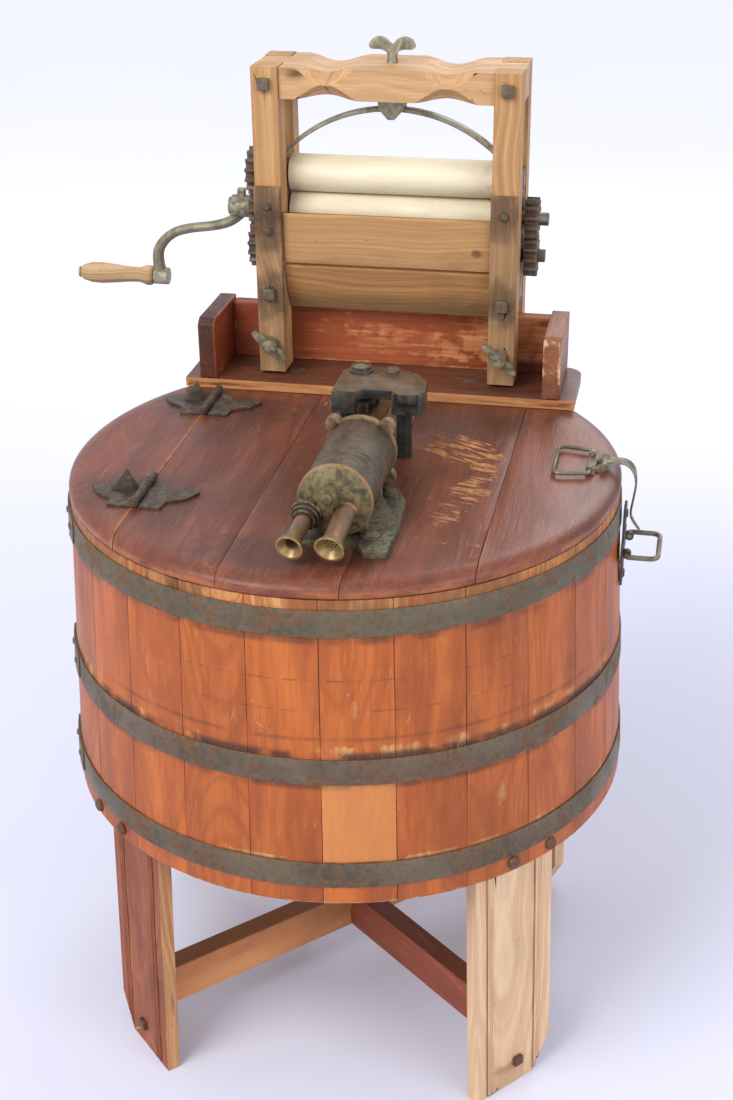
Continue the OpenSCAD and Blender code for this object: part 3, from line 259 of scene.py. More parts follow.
def metal(name, base, deep, rust=None, rusting=0.3, polish=0.4, metallic=0.6, grit=90.0, bright=None,
          rough=(0.40, 0.65), tints=(), cloud=30.0):
    """Old metal: a skin in two tones, patches of rust or verdigris, rubbed edges. A tint is (mask, colour)."""
    s = Shader(name)
    p = s.place()
    cloudy = s.noise(p, cloud, 6.0, 0.60, 0.3)
    fine = s.noise(p, 420.0, 4.0, 0.6)
    cast = s.noise(p, grit * 12, 3.0, 0.6)
    color = s.mix(s.span(cloudy, 0.34, 0.68), base, deep)
    color = s.mix(s.span(fine, 0.42, 0.72, 0.0, 0.35), color, deep)
    shade = s.span(cloudy, 0.3, 0.7, rough[0], rough[1])
    shade = s.add(shade, s.span(fine, 0.3, 0.7, -0.05, 0.07, False))
    metalness = metallic
    height = s.add(s.mul(fine, 0.4), s.mul(cast, 0.3))
    for mask, tint in tints:
        color = s.mix(mask(s), color, tint)
    if rust is not None:
        patch = s.noise(p, grit, 7.0, 0.66, 0.5)
        spot = s.add(patch, s.span(cloudy, 0.3, 0.7, -0.10, 0.10, False))
        spot = s.span(spot, 0.62 - rusting * 0.35, 0.72 - rusting * 0.30)
        color = s.mix(s.mul(spot, 0.8), color, s.mix(s.span(cast, 0.35, 0.7), rust, s.mix(0.5, rust, rgb(48, 34, 24))))
        shade = s.math("MAXIMUM", shade, s.mul(spot, 0.82))
        metalness = s.mul(s.math("SUBTRACT", 1.0, spot), metallic)
        height = s.add(height, s.mul(spot, 0.6))
    point = s.node("NewGeometry", "Pointiness")
    edge = s.mul(s.span(point, 0.505, 0.56), s.span(s.noise(p, 150.0, 3.0), 0.35, 0.60), polish)
    color = s.mix(edge, color, bright or base)
    groove = s.mul(s.span(point, 0.495, 0.44), 0.6)
    color = s.mix(groove, color, rgb(38, 30, 24))
    return s.finish(color, shade, height, 0.0003, metalness)


def near(x, y, z, size, gain=0.5, turn=0.0, soft=0.5, ragged=0.4):
    """A mark round one place that rubs a coat away, or a tint's mask."""
    return lambda s: s.mul(s.blob((x, y, z), size, soft, ragged, 55.0, turn), gain)


def scraped(x, y, size, turn, gain=1.0):
    """A patch scraped off in thin strokes along one direction of the lid."""
    def mark(s):
        spun = s.node("VectorRotate", attrs={"rotation_type": "Z_AXIS"}, Vector=s.place(), Angle=turn)
        strokes = s.noise(s.scaled(spun, (30, 210, 30)), 1.0, 4.0, 0.6)
        patch = s.blob((x, y, LID_Z), size, 0.45, 0.5, 38.0, turn)
        return s.mul(patch, s.span(strokes, 0.40, 0.56), gain)
    return mark


def arc(x, y, radius, width, gain, side):
    """Part of a ring rubbed into the lid, on the side of x that is named."""
    def mark(s):
        moved = s.node("VectorMath", attrs={"operation": "SUBTRACT"}, i0=s.place(), i1=(x, y, LID_Z))
        far = s.node("VectorMath", "Value", {"operation": "LENGTH"}, i0=moved)
        off = s.math("ABSOLUTE", s.math("SUBTRACT", far, radius))
        top = s.span(s.part(moved, "Z"), -0.012, -0.006)
        worn = s.span(s.noise(s.place(), 55.0, 5.0), 0.36, 0.60)
        here = s.mul(s.span(off, width, width * 0.3), s.span(s.part(moved, "X"), side + 0.008, side - 0.012))
        return s.mul(here, top, worn, gain)
    return mark


def strip(axis, a, b, soft, gain=1.0, ragged=0.0, scale=40.0):
    """A band between a and b along an axis of the part, broken up where ragged is above 0."""
    def mark(s):
        band = s.band(axis, a, b, soft)
        if ragged:
            band = s.mul(band, s.span(s.noise(s.place(), scale, 5.0), 0.5 - 0.2 / ragged, 0.5 + 0.1 / ragged))
        return s.mul(band, gain)
    return mark


def stave(index, z0, z1, gain):
    """One stave between two heights; the staves are counted round the tub from +X."""
    def mark(s):
        p = s.place()
        angle = s.math("ARCTAN2", s.part(p, "Y"), s.math("SUBTRACT", s.part(p, "X"), AXIS_X))
        lo, hi = index * STAVE_ANGLE, (index + 1) * STAVE_ANGLE
        here = s.mul(s.span(angle, lo - 0.001, lo + 0.001), s.span(angle, hi + 0.001, hi - 0.001))
        return s.mul(here, s.band("Z", z0, z1, 0.002), gain)
    return mark


def rules(s):
    """Faint stencilled rules, plain broken lines, round the tub's front."""
    p = s.place()
    angle = s.math("ARCTAN2", s.part(p, "Y"), s.math("SUBTRACT", s.part(p, "X"), AXIS_X))
    front = s.mul(s.span(angle, math.radians(-110), math.radians(-109)), s.span(angle, math.radians(-45), math.radians(-46)))
    turns = s.mul(s.math("ADD", angle, math.pi), 7.0)
    dash = s.span(s.math("FRACT", turns), 0.80, 0.78)
    faded = s.span(s.noise(p, 90.0, 5.0), 0.36, 0.62)
    lines = s.either(s.band("Z", 0.6145, 0.6165, 0.0004), s.band("Z", 0.5790, 0.5808, 0.0004))
    return s.mul(lines, front, dash, faded, 0.6)


def outside(mask):
    """A mask kept to the tub's outer face."""
    def kept(s):
        flat = s.scaled(s.node("VectorMath", attrs={"operation": "SUBTRACT"}, i0=s.place(), i1=(AXIS_X, 0, 0)), (1, 1, 0))
        far = s.node("VectorMath", "Value", {"operation": "LENGTH"}, i0=flat)
        return s.mul(mask(s), s.span(far, 0.3135, 0.3145))
    return kept


def dust(s):
    """Dust on whatever faces up."""
    up = s.span(s.part(s.node("NewGeometry", "Normal"), "Z"), 0.7, 0.95)
    return s.mul(up, s.span(s.noise(s.place(), 60.0, 5.0), 0.30, 0.62, 0.35, 0.95))


def union(s):
    """The dark ring at the foot of the inlet pipe."""
    return s.mul(s.span(s.part(s.place(), "X"), 0.056, 0.054), s.band("Y", -0.243, -0.20, 0.001))


PINE = (rgb(214, 184, 150), rgb(200, 166, 130), rgb(172, 130, 94))
OAK = (rgb(208, 156, 100), rgb(184, 124, 74), rgb(134, 80, 46))
GREY_WOOD = (rgb(186, 152, 118), rgb(158, 120, 88), rgb(108, 80, 58))
TAN = (rgb(204, 164, 114), rgb(182, 140, 92), rgb(138, 98, 60))
SCUFFED = rgb(206, 150, 96)
# A near-black brown: soot and grime on the lid, boards and overlays, and painted shade on the braces' tops and under
# two of the tub's hoops.
SOOT_AND_SHADE = rgb(46, 34, 28)

def lip(s):
    """The lid's lower lip, where hands have rubbed it."""
    ragged = s.span(s.noise(s.scaled(s.place(), (1, 1, 3)), 14.0, 6.0, 0.65), 0.40, 0.58)
    return s.mul(s.band("Z", 0.70, 0.716, 0.003), ragged, 0.75)


def rim(a, b, gain):
    """Wear round the edge of the lid, from radius a outwards."""
    def mark(s):
        moved = s.node("VectorMath", attrs={"operation": "SUBTRACT"}, i0=s.place(), i1=(AXIS_X, 0.0, LID_Z))
        far = s.node("VectorMath", "Value", {"operation": "LENGTH"}, i0=moved)
        return s.mul(s.span(far, a, b), s.span(s.noise(s.place(), 16.0, 5.0), 0.40, 0.60), gain)
    return mark


LID_MARKS = [scraped(0.145, 0.050, (0.052, 0.045, 0.008), 0.55, 1.2), scraped(0.178, -0.070, (0.026, 0.105, 0.008), 0.22, 1.1),
             scraped(0.190, -0.198, (0.026, 0.012, 0.008), 0.2, 0.9), rim(0.320, 0.332, 0.55), arc(0.002, -0.012, 0.063, 0.006, 0.75, -0.012),
             near(0.125, -0.235, LID_Z, (0.07, 0.022, 0.008), 0.26, 0.35),
             near(-0.10, -0.16, LID_Z, (0.09, 0.05, 0.008), 0.16),
             near(0.10, 0.14, LID_Z, (0.05, 0.03, 0.008), 0.18)]

def inner_side(gain):
    """The flank of a left leg that faces the machine's middle."""
    def mark(s):
        side = s.part(s.node("NewGeometry", "Normal"), "X")
        return s.mul(s.span(side, 0.55, 0.75), gain)
    return mark


TUB_MARKS = [strip("Z", 0.6945, 0.72, 0.003, 0.90), strip("Z", 0.521, 0.543, 0.008, 0.95, 1.4, 24.0),
             strip("Z", 0.394, 0.401, 0.002, 1.0, 1.8, 20.0), strip("Z", 0.33, 0.3455, 0.0015, 1.2, 1.2, 70.0),
             near(0.10, -0.30, 0.585, (0.012, 0.05, 0.02), 0.7), near(0.24, -0.22, 0.45, (0.012, 0.05, 0.016), 0.9),
             near(-0.22, -0.21, 0.47, (0.012, 0.05, 0.012), 0.8)]
# Tints on the tub's outer face: a pale stave, stains and dirt lines along the hoops, faint rules, and two painted
# shadows just under the top and middle hoops.
TUB_STAINS_AND_SHADOWS = [(stave(-6, 0.395, 0.493, 0.60), rgb(204, 136, 78)),
              (strip("Z", 0.6945, 0.72, 0.003, 0.55, 1.4, 14.0), rgb(112, 78, 48)),
              (strip("Z", 0.521, 0.531, 0.004, 0.85, 1.6, 22.0), SOOT_AND_SHADE),
              (strip("Z", 0.545, 0.549, 0.002, 0.50, 1.2, 30.0), rgb(84, 50, 30)),
              # Painted shadow just under the middle hoop's lower edge.
              (strip("Z", 0.486, 0.496, 0.003, 0.55, 1.4, 22.0), SOOT_AND_SHADE),
              (strip("Z", 0.393, 0.3965, 0.0015, 0.65, 1.6, 20.0), SOOT_AND_SHADE),
              # Painted shadow just under the top hoop's lower edge.
              (strip("Z", 0.657, 0.668, 0.003, 0.55, 1.4, 22.0), SOOT_AND_SHADE),
              (rules, rgb(96, 60, 34))]


MATS = {
    "tub": wood("tub_varnish", *OAK, rgb(186, 100, 42), rgb(144, 70, 28), cover=0.92, worn=0.22, soil=0.30, tone=0.22,
                gloss=(0.42, 0.70), rings=0.8, marks=[outside(mark) for mark in TUB_MARKS],
                tints=[(outside(mask), tint) for mask, tint in TUB_STAINS_AND_SHADOWS]),
    "inside": wood("bare_wet_wood", *GREY_WOOD, soil=0.5),
    "leg_worn": wood("worn_stain", rgb(212, 168, 122), rgb(190, 140, 96), rgb(150, 96, 62), rgb(158, 92, 62),
                     rgb(120, 62, 44), cover=0.62, worn=0.62, tone=0.15, gloss=(0.6, 0.78), rings=0.6,
                     marks=[inner_side(0.9), near(-0.19, -0.22, 0.20, (0.035, 0.06, 0.16), 0.25, 0.0, 0.8)]),
    "leg_fresh": wood("bare_pine", rgb(230, 198, 164), rgb(220, 186, 150), rgb(192, 150, 114), soil=0.18, tone=0.1,
                      gloss=(0.5, 0.7), rings=0.5,
                      tints=[(near(0.243, -0.199, 0.028, (0.03, 0.03, 0.008), 0.55), rgb(138, 88, 54)),
                             (near(0.243, -0.199, 0.012, (0.03, 0.03, 0.020), 0.30), rgb(150, 104, 66))]),
    # The dark strip at z 0.109 to 0.115 is painted shade on the brace's top face and upper edge.
    "brace_left": wood("brace_orange", *OAK, rgb(206, 144, 94), rgb(176, 114, 72), cover=0.85, worn=0.40,
                       tints=[(strip("Z", 0.109, 0.115, 0.001, 0.55), SOOT_AND_SHADE)]),
    # The same painted shade on this brace's top face and upper edge.
    "brace_right": wood("brace_red", *OAK, rgb(168, 88, 60), rgb(134, 66, 46), cover=0.88, worn=0.40,
                        tints=[(strip("Z", 0.109, 0.115, 0.001, 0.55), SOOT_AND_SHADE)]),
    "lid": wood("lid_paint", SCUFFED, rgb(190, 132, 82), rgb(150, 92, 56), rgb(124, 68, 50), rgb(92, 48, 38), cover=1.0,
                worn=0.36, soil=0.42, tone=0.18, gloss=(0.34, 0.60), rings=0.6, scars=0.3, marks=LID_MARKS,
                tints=[(near(-0.178, 0.13, LID_Z, (0.06, 0.045, 0.01), 0.55), SOOT_AND_SHADE),
                       (near(-0.178, -0.14, LID_Z, (0.075, 0.045, 0.01), 0.50), SOOT_AND_SHADE),
                       (near(0.02, -0.255, LID_Z, (0.10, 0.035, 0.01), 0.50), SOOT_AND_SHADE),
                       (near(0.045, 0.13, LID_Z, (0.17, 0.05, 0.01), 0.40), SOOT_AND_SHADE),
                       (strip("X", -0.1805, -0.1745, 0.001, 0.55, 0.9), rgb(176, 112, 62)),
                       (near(0.05, -0.10, LID_Z, (0.12, 0.14, 0.008), 0.30), rgb(70, 50, 40)),
                       (lip, rgb(166, 98, 56))]),
    "shelf": wood("shelf_paint", SCUFFED, rgb(190, 132, 82), rgb(150, 92, 56), rgb(106, 62, 44), rgb(78, 44, 34),
                  cover=0.92, worn=0.55, tone=0.1, gloss=(0.38, 0.62), rings=0.6,
                  marks=[strip("Y", 0.18, 0.1835, 0.0006, 0.9), near(0.0, 0.21, 0.725, (0.2, 0.03, 0.01), 0.3)]),
    "back_board": wood("board_red", rgb(214, 150, 104), rgb(194, 126, 82), rgb(156, 92, 56), rgb(160, 84, 50),
                       rgb(128, 58, 34), cover=0.74, worn=0.50, rings=0.5,
                       marks=[near(0.10, 0.272, 0.800, (0.17, 0.05, 0.05), 0.36, 0.0, 0.8),
                              near(0.02, 0.272, 0.765, (0.16, 0.05, 0.03), 0.40, 0.0, 0.8),
                              near(0.19, 0.272, 0.775, (0.07, 0.05, 0.05), 0.42, 0.0, 0.8)],
                       tints=[(near(0.20, 0.272, 0.742, (0.05, 0.03, 0.010), 0.6), SOOT_AND_SHADE)]),
    "end_left": wood("board_purple", *OAK, rgb(84, 46, 34), rgb(56, 30, 24), cover=0.92, worn=0.5, rings=0.4,
                     tints=[(strip("X", -0.1862, -0.18, 0.001, 0.8), rgb(140, 66, 38))]),
    "end_right": wood("board_worn", *PINE, rgb(134, 84, 58), rgb(98, 56, 40), cover=0.80, worn=0.38, rings=0.4,
                      marks=[strip("Y", 0.17, 0.190, 0.002, 0.42, 1.6, 36.0)]),
    "wringer": wood("handled_wood", rgb(198, 158, 110), rgb(180, 138, 92), rgb(140, 98, 60), soil=0.62, tone=0.2,
                    gloss=(0.45, 0.62), rings=0.35),
    "overlay": wood("grey_overlay", rgb(176, 140, 102), rgb(158, 124, 88), rgb(118, 88, 60), soil=0.5, tone=0.15, rings=0.35,
                    tints=[(near(x, 0.211, z, (0.022, 0.02, 0.03), 0.6), SOOT_AND_SHADE) for x, z in
                           ((-0.1175, 0.844), (0.1735, 0.844), (-0.1175, 0.955), (-0.1175, 0.924), (0.1735, 0.954))]),
    "beam": wood("beam_wood", rgb(216, 178, 134), rgb(200, 160, 116), rgb(150, 108, 72), soil=0.35, tone=0.1,
                 gloss=(0.42, 0.60), rings=0.45),
    "apron": wood("apron_wood", rgb(192, 152, 104), rgb(178, 138, 92), rgb(144, 104, 66), soil=0.5, tone=0.1, rings=0.3,
                  tints=[(near(0.14, 0.22, 0.905, (0.006, 0.02, 0.005), 0.8), rgb(92, 56, 34))]),
    # The water board's lower part, z 0.80 to 0.838, is tinted darker as painted shade.
    "board_shaded_low": wood("board_painted_shade", rgb(202, 156, 104), rgb(184, 138, 88), rgb(140, 98, 62), soil=0.45, tone=0.1, rings=0.4,
                       tints=[(strip("Z", 0.80, 0.838, 0.012, 0.75), rgb(104, 84, 56))]),
    "grip": wood("grip_wood", rgb(196, 168, 128), rgb(172, 142, 104), rgb(132, 100, 68), soil=0.35),
    "hoop": metal("hoop_iron", rgb(98, 82, 62), rgb(66, 57, 45), rgb(104, 70, 44), 0.42, 0.35, 0.2, 38.0,
                  rgb(138, 122, 94), (0.40, 0.60), [(strip("Z", 0.66, 0.70, 0.002, 0.40), rgb(76, 76, 54))], 12.0),
    "rusty": metal("rusty_iron", rgb(92, 80, 64), rgb(62, 53, 44), rgb(98, 72, 52), 0.55, 0.35, 0.35, 60.0,
                   rgb(130, 118, 98)),
    "bolt": metal("leg_bolt_iron", rgb(84, 66, 52), rgb(54, 42, 34), rgb(112, 70, 44), 0.75, 0.3, 0.3, 60.0),
    "hinge": metal("hinge_iron", rgb(70, 62, 54), rgb(46, 40, 36), rgb(84, 62, 44), 0.35, 0.4, 0.35, 60.0,
                   rgb(120, 106, 86)),
    "grey": metal("galvanised_iron", rgb(138, 132, 108), rgb(98, 92, 74), rgb(112, 92, 66), 0.10, 0.5, 0.35, 60.0,
                  rgb(190, 184, 158), (0.42, 0.6)),
    "wire": metal("wire_iron", rgb(116, 108, 88), rgb(74, 68, 56), rgb(112, 92, 66), 0.30, 0.5, 0.35, 60.0,
                  rgb(168, 160, 134)),
    "base": metal("base_iron", rgb(78, 76, 58), rgb(50, 50, 40), rgb(104, 78, 52), 0.35, 0.5, 0.30, 50.0,
                  rgb(132, 124, 92)),
    "head": metal("front_head", rgb(86, 73, 46), rgb(54, 47, 31), rgb(70, 76, 50), 0.20, 0.6, 0.20, 34.0,
                  rgb(128, 112, 72), (0.46, 0.62),
                  [(strip("Y", -0.2205, -0.2155, 0.0006, 0.9), rgb(160, 112, 74))]),
    "rear": metal("rear_head", rgb(120, 98, 74), rgb(84, 70, 52), rgb(96, 92, 66), 0.25, 0.6, 0.40, 34.0,
                  rgb(160, 136, 98), (0.36, 0.56)),
    "pipes": metal("copper_pipes", rgb(150, 114, 84), rgb(106, 80, 60), rgb(88, 84, 60), 0.25, 0.7, 0.50, 40.0,
                   rgb(184, 154, 104), (0.34, 0.52),
                   [(strip("Y", -0.30, -0.2735, 0.0012, 0.8), rgb(142, 118, 74)),
                    (union, rgb(58, 50, 42))]),
    "barrel": metal("barrel_brass", rgb(76, 65, 51), rgb(52, 45, 38), rgb(72, 61, 40), 0.16, 0.4, 0.28, 26.0,
                    rgb(130, 110, 80), (0.34, 0.50), [], 20.0),
    "rod": metal("rod_bronze", rgb(164, 126, 92), rgb(118, 90, 66), rgb(96, 80, 60), 0.15, 0.6, 0.65, 40.0,
                 rgb(184, 150, 110), (0.28, 0.5)),
    "black": metal("black_iron", rgb(54, 60, 58), rgb(34, 38, 38), None, 0.2, 0.35, 0.2, 60.0,
                   rgb(110, 96, 76), (0.20, 0.40), [(dust, rgb(112, 90, 68))]),
}


def rubber():
    """Cream rubber with faint hairlines round it, and grey metal where the shafts come out."""
    s = Shader("roll_rubber")
    p = s.place()
    cloud = s.noise(s.scaled(p, (6, 30, 30)), 1.0, 5.0, 0.6)
    color = s.mix(s.span(cloud, 0.35, 0.7), rgb(224, 215, 190), rgb(208, 197, 168))
    lines = s.noise(s.scaled(p, (420, 14, 14)), 1.0, 3.0, 0.7)
    line = s.mul(s.span(lines, 0.66, 0.74), s.span(s.noise(p, 20.0), 0.45, 0.60), 0.35)
    color = s.mix(line, color, rgb(150, 128, 96))
    ends = s.math("ABSOLUTE", s.math("SUBTRACT", s.part(p, "X"), WRINGER_X))
    stained = s.mul(s.span(ends, ROLL_END - 0.02, ROLL_END), s.span(s.noise(p, 60.0, 5.0), 0.45, 0.7), 0.5)
    color = s.mix(stained, color, rgb(150, 122, 84))
    bare = s.span(ends, ROLL_END + 0.0002, ROLL_END + 0.0008)
    skin = s.mix(s.span(s.noise(p, 70.0, 5.0), 0.4, 0.65), rgb(128, 120, 102), rgb(84, 72, 58))
    color = s.mix(bare, color, skin)
    return s.finish(color, s.span(cloud, 0.3, 0.7, 0.42, 0.6), s.mul(line, -1.0), 0.0003, s.mul(bare, 0.6))


MATS["rubber"] = rubber()


# Meshes

def islands(bm):
    """Lists of the vertices of each connected piece."""
    seen, out = set(), []
    for start in bm.verts:
        if start in seen:
            continue
        seen.add(start)
        group, todo = [], [start]
        while todo:
            v = todo.pop()
            group.append(v)
            for e in v.link_edges:
                w = e.other_vert(v)
                if w not in seen:
                    seen.add(w)
                    todo.append(w)
        out.append(group)
    return out


def sharp(bm, degrees):
    limit = math.radians(degrees)
    return [e for e in bm.edges if len(e.link_faces) == 2 and e.calc_face_angle(0.0) > limit]


def slice_up(bm, step):
    """Cuts the mesh into a grid, so that it has points to move."""
    lo = [min(v.co[k] for v in bm.verts) for k in range(3)]
    hi = [max(v.co[k] for v in bm.verts) for k in range(3)]
    for k in range(3):
        count = int((hi[k] - lo[k]) / step)
        normal = Vector((k == 0, k == 1, k == 2))
        for i in range(1, count + 1):
            co = Vector((0, 0, 0))
            co[k] = lo[k] + (hi[k] - lo[k]) * i / (count + 1)
            bmesh.ops.bisect_plane(bm, geom=bm.verts[:] + bm.edges[:] + bm.faces[:], dist=1e-6, plane_co=co, plane_no=normal)


def round_frame(p, mid):
    """Along, across and depth for a stave whose middle is mid."""
    a = math.atan2(p.y, p.x - AXIS_X) - math.atan2(mid.y, mid.x - AXIS_X)
    a = (a + math.pi) % (2 * math.pi) - math.pi
    return Vector((p.z, a * TOP_R, math.hypot(p.x - AXIS_X, p.y) - TOP_R))


def board_frame(axis, turn=0.0):
    """Along, across and depth for a board whose grain runs along one axis, turned about Z."""
    spin = Matrix.Rotation(-turn, 3, "Z")
    order = {"x": (0, 1, 2), "y": (1, 0, 2), "z": (2, 0, 1)}[axis]

    def at(p, mid):
        q = spin @ (p - mid)
        row = [q[k] for k in order]
        if axis == "z":
            row[1], row[2] = row[2], row[1]
        return Vector(row)
    return at


def finish_mesh(bm, name, mat, frame_of, seed, smooth=38.0):
    """Turns a bmesh into an object with the grain, wear and tone that the shaders read."""
    rng = random.Random(seed)
    wear = bm.verts.layers.float.get("wear")
    rows = {}
    for group in islands(bm):
        corners = [[f(v.co[k] for v in group) for f in (min, max)] for k in range(3)]
        mid = Vector([(a + b) / 2 for a, b in corners])
        shift = Vector((rng.uniform(-9, 9), rng.uniform(-0.025, 0.025), rng.uniform(-0.01, 0.01)))
        value = rng.random()
        for v in group:
            rows[v.index] = (frame_of(v.co, mid) + shift, v[wear] if wear else 0.0, value)
    mesh = bpy.data.meshes.new(name)
    bm.to_mesh(mesh)
    bm.free()
    if "wear" in mesh.attributes:
        mesh.attributes.remove(mesh.attributes["wear"])
    rows = [rows[i] for i in range(len(rows))]
    mesh.attributes.new("grain", "FLOAT_VECTOR", "POINT").data.foreach_set("vector", [c for row in rows for c in row[0]])
    for k, key in ((1, "wear"), (2, "tone")):
        mesh.attributes.new(key, "FLOAT", "POINT").data.foreach_set("value", [row[k] for row in rows])
    mesh.materials.clear()
    mesh.materials.append(mat)
    mesh.polygons.foreach_set("use_smooth", [True] * len(mesh.polygons))
    mesh.set_sharp_from_angle(angle=math.radians(smooth))
    obj = bpy.data.objects.new(name, mesh)
    bpy.context.scene.collection.objects.link(obj)
    return obj


def from_node(node):
    bm = bmesh.new()
    bm.from_mesh(NODES[node].data)
    for layer in list(bm.loops.layers.uv.values()):
        bm.loops.layers.uv.remove(layer)
    bmesh.ops.remove_doubles(bm, verts=bm.verts[:], dist=2e-6)
    bmesh.ops.dissolve_limit(bm, angle_limit=math.radians(0.4), verts=bm.verts[:], edges=bm.edges[:])
    return bm


def soften(bm, bevel, segments=2, inset=0.0, angle=28.0):
    """Rounds the edges and marks them as worn."""
    wear = bm.verts.layers.float.new("wear")
    if bevel:
        bmesh.ops.bevel(bm, geom=sharp(bm, angle), offset=bevel, offset_type="OFFSET", segments=segments, profile=0.5,
                        affect="EDGES", clamp_overlap=True)
        wear = bm.verts.layers.float.get("wear")
    for v in bm.verts:
        v[wear] = 1.0 if inset else 0.0
    if inset:
        flats = [f for f in bm.faces if f.calc_area() > (4 * inset) ** 2]
        old = set(bm.verts)
        bmesh.ops.inset_individual(bm, faces=flats, thickness=inset, use_even_offset=True)
        for v in bm.verts:
            if v not in old:
                v[wear] = 0.0


def roughen(bm, amount, scale=9.0):
    """Moves each point a little along its normal."""
    bm.normal_update()
    for v in bm.verts:
        p = v.co * scale
        n = noise.noise(p) * 0.7 + noise.noise(p * 4.1) * 0.3
        v.co += v.normal * (n * amount - amount * 0.5)


def refined(node, mat, axis="z", turn=0.0, bevel=0.0008, inset=0.0, step=0.0, dent=0.0, frame_of=None, segments=2,
            smooth=38.0):
    """A finer copy of a CAD node that stands for it."""
    bm = from_node(node)
    box = [[f(v.co[k] for v in bm.verts) for f in (min, max)] for k in range(3)]
    soften(bm, bevel, segments, inset)
    if step:
        slice_up(bm, step)
    if dent:
        roughen(bm, dent)
    for v in bm.verts:
        v.co = [min(max(c, lo), hi) for c, (lo, hi) in zip(v.co, box)]
    bm.verts.index_update()
    obj = finish_mesh(bm, "look_" + node, MATS[mat], frame_of or board_frame(axis, turn), node, smooth)
    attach(obj, NODES[node]["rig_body"])
    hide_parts(node)
    return obj


LEG_TURN = math.radians(2.5)
LEG_ANGLE = math.radians(43)

THIN_BEVEL = 0.0003
WOODEN = {
    "tub_bottom": ("inside", "y", 0.0), "lid_rear_segment": ("lid", "x", 0.0), "lid_left_segment": ("lid", "y", 0.0),
    "lid_boards": ("lid", "y", 0.0), "lid_battens": ("inside", "x", 0.0), "shelf_plank": ("shelf", "x", 0.0),
    "back_board": ("back_board", "x", 0.0), "end_board_left": ("end_left", "y", 0.0),
    "end_board_right": ("end_right", "y", 0.0), "leg_front_left": ("leg_worn", "z", LEG_TURN + math.pi + LEG_ANGLE),
    "leg_back_left": ("leg_worn", "z", LEG_TURN + math.pi - LEG_ANGLE),
    "leg_front_right": ("leg_fresh", "z", LEG_TURN - LEG_ANGLE), "leg_back_right": ("leg_fresh", "z", LEG_TURN + LEG_ANGLE),
    "brace_right": ("brace_right", "x", LEG_TURN - LEG_ANGLE), "brace_left": ("brace_left", "x", LEG_TURN + LEG_ANGLE),
    "posts_left": ("wringer", "z", 0.0), "posts_right": ("wringer", "z", 0.0), "post_overlays": ("overlay", "z", 0.0),
    "top_beam": ("beam", "x", 0.0), "apron_board": ("apron", "x", 0.0), "water_board": ("board_shaded_low", "x", 0.0),
}
for node, (mat, axis, turn) in WOODEN.items():
    thin = node in ("lid_boards", "lid_left_segment", "top_beam")
    refined(node, mat, axis, turn, THIN_BEVEL if thin else 0.0012, 0.0 if thin else 0.004, 0.03, 0.0004)
refined("tub_staves", "tub", frame_of=round_frame, bevel=0.0005, step=0.03, dent=0.0004)
refined("crank_grip", "grip", "x", bevel=0.0)
refined("dolly_disc", "inside", "x", bevel=0.001)

METALS = {
    "hoop": ["tub_hoops"],
    "bolt": ["leg_bolts"],
    "hinge": ["hinge_leaves_fixed", "hinge_leaves_lid", "handle_brackets"],
    "rusty": ["motor_screws", "lower_bearings", "roll_carriages", "wringer_bolts", "upper_gear", "lower_gear",
              "counter_shaft", "crank_pinion", "clamp_foot_left", "clamp_foot_right"],
    "wire": ["bail_right", "bail_left", "latch_base", "latch_strap", "lid_loop", "clamp_screw_left",
             "clamp_screw_right"],
    "grey": ["spring_follower", "pressure_screw", "crank_arm", "dolly_shaft"],
    "base": ["motor_base"],
    "head": ["motor_front_head"],
    "rear": ["motor_rear_head"],
    "pipes": ["motor_nipples"],
    "rod": ["piston_rod"],
    "barrel": ["motor_barrel"],
    "black": ["bridge"],
    "rubber": ["upper_roll", "lower_roll"],
}
for mat, nodes in METALS.items():
    for node in nodes:
        refined(node, mat, bevel=0.0 if node in ("piston_rod", "motor_rear_head") else 0.0006)


def spring_piece(name, above):
    """The bow spring above or below SPRING_CUT, cut off as a piece of its own."""
    bm = from_node("bow_spring")
    soften(bm, 0.0006)
    bmesh.ops.bisect_plane(bm, geom=bm.verts[:] + bm.edges[:] + bm.faces[:], dist=1e-6, plane_co=(0, 0, SPRING_CUT),
                           plane_no=(0, 0, 1), clear_inner=above, clear_outer=not above)
    bmesh.ops.holes_fill(bm, edges=[e for e in bm.edges if e.is_boundary])
    bm.verts.index_update()
    obj = finish_mesh(bm, name, MATS["grey"], board_frame("x"), name)
    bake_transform(obj)
    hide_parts("bow_spring")


SPRING_LOW, SPRING_CUT, SPRING_HIGH = 0.9965, 1.030, 1.067
spring_piece("look_spring_ends", False)
spring_piece("look_spring_bow", True)


# Stage, light and camera

def area(name, place, aim, size, power, color=(1, 1, 1)):
    data = bpy.data.lights.new(name, "AREA")
    data.shape = "DISK"
    data.size = size
    data.energy = power
    data.color = color
    lamp = bpy.data.objects.new(name, data)
    bpy.context.scene.collection.objects.link(lamp)
    lamp.location = place
    lamp.rotation_euler = (Vector(aim) - Vector(place)).to_track_quat("-Z", "Y").to_euler()


PALE = rgb(236, 238, 251)
SEEN_BY = ("Is Camera Ray", "Is Glossy Ray")


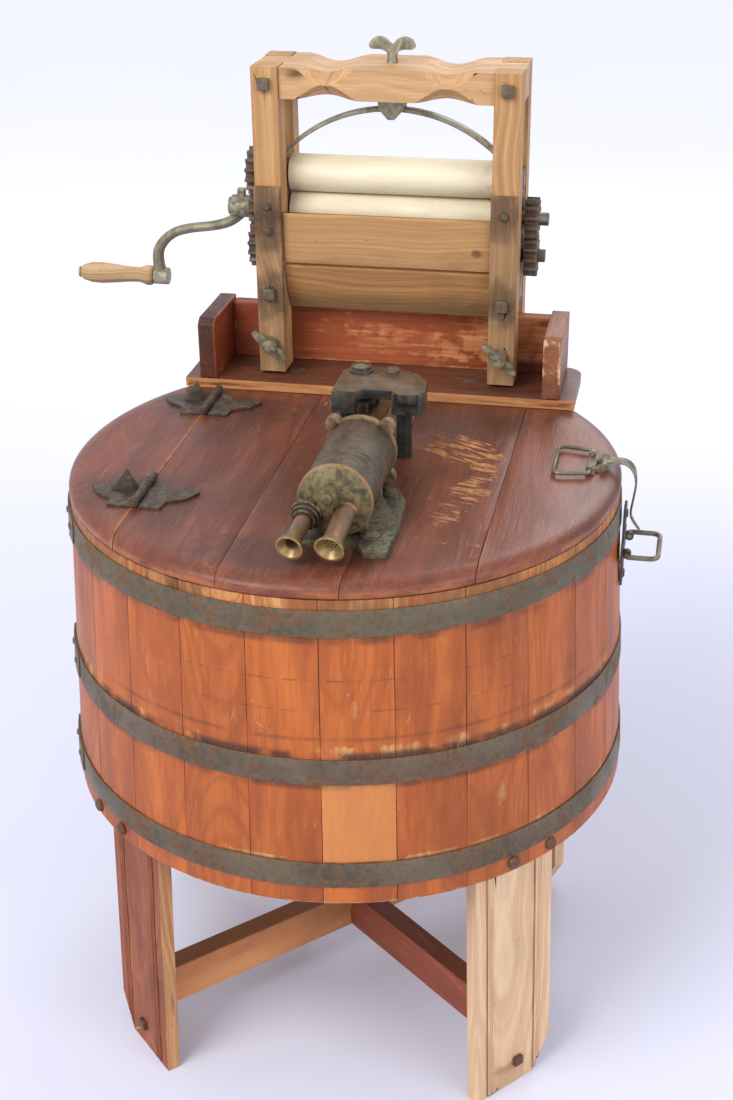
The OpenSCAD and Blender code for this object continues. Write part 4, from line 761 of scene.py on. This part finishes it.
def studio():
    """A pale floor and backdrop; only what the camera sees, itself or in a gloss, is as bright as this."""
    floor_mesh = bpy.data.meshes.new("floor")
    half = 20.0
    floor_mesh.from_pydata([(-half, -half, 0), (half, -half, 0), (half, half, 0), (-half, half, 0)], [], [(0, 1, 2, 3)])
    floor = bpy.data.objects.new("floor", floor_mesh)
    bpy.context.scene.collection.objects.link(floor)
    s = Shader("pale_floor")
    drift = s.noise(s.place(), 1.3, 3.0)
    s.put(s.bsdf.inputs["Base Color"], s.mix(drift, rgb(204, 206, 226), rgb(212, 214, 232)))
    far = s.node("VectorMath", "Value", {"operation": "LENGTH"}, i0=s.place())
    s.put(s.bsdf.inputs["Roughness"], 0.95)
    seen = s.either(*[s.node("LightPath", ray) for ray in SEEN_BY])
    s.put(s.bsdf.inputs["Emission Color"], PALE)
    s.put(s.bsdf.inputs["Emission Strength"], s.mul(seen, s.span(far, 0.3, 3.6, 0.03, 0.50)))
    floor_mesh.materials.append(s.mat)
    world = bpy.data.worlds.new("studio")
    bpy.context.scene.world = world
    world.use_nodes = True
    tree = world.node_tree
    back = tree.nodes["Background"]
    back.inputs["Color"].default_value = (0.97, 0.97, 1.0, 1.0)
    back.inputs["Strength"].default_value = 0.72
    seen_back = tree.nodes.new("ShaderNodeBackground")
    seen_back.inputs["Color"].default_value = PALE
    seen_back.inputs["Strength"].default_value = 1.06
    path = tree.nodes.new("ShaderNodeLightPath")
    either = tree.nodes.new("ShaderNodeMath")
    either.operation = "MAXIMUM"
    for i, ray in enumerate(SEEN_BY):
        tree.links.new(path.outputs[ray], either.inputs[i])
    mixed = tree.nodes.new("ShaderNodeMixShader")
    tree.links.new(either.outputs[0], mixed.inputs[0])
    tree.links.new(back.outputs[0], mixed.inputs[1])
    tree.links.new(seen_back.outputs[0], mixed.inputs[2])
    tree.links.new(mixed.outputs[0], tree.nodes["World Output"].inputs["Surface"])
    area("key", (-1.5, -2.4, 3.2), (0, 0, 0.6), 2.4, 120, (1.0, 0.985, 0.96))
    area("fill", (2.6, -1.8, 1.8), (0, 0, 0.6), 2.4, 38, (1.0, 0.99, 0.98))
    area("back", (0.6, 2.8, 2.6), (0, 0, 0.8), 2.2, 34)


def camera():
    data = bpy.data.cameras.new("camera")
    data.sensor_fit = "VERTICAL"
    data.sensor_height = 24.0
    data.lens = 24.0 * 1700 / 1100
    data.clip_end = 60.0
    cam = bpy.data.objects.new("camera", data)
    bpy.context.scene.collection.objects.link(cam)
    forward = Vector((-0.183, 0.873, -0.452)).normalized()
    right = forward.cross(Vector((0, 0, 1))).normalized()
    up = right.cross(forward)
    roll = math.radians(-0.77)
    right2 = right * math.cos(roll) + up * math.sin(roll)
    up2 = up * math.cos(roll) - right * math.sin(roll)
    turn = Matrix((right2, up2, -forward)).transposed()
    cam.matrix_world = Matrix.Translation((0.4143, -1.7596, 1.5164)) @ turn.to_4x4()
    bpy.context.scene.camera = cam


studio()
camera()
bpy.context.scene.view_settings.view_transform = "Standard"
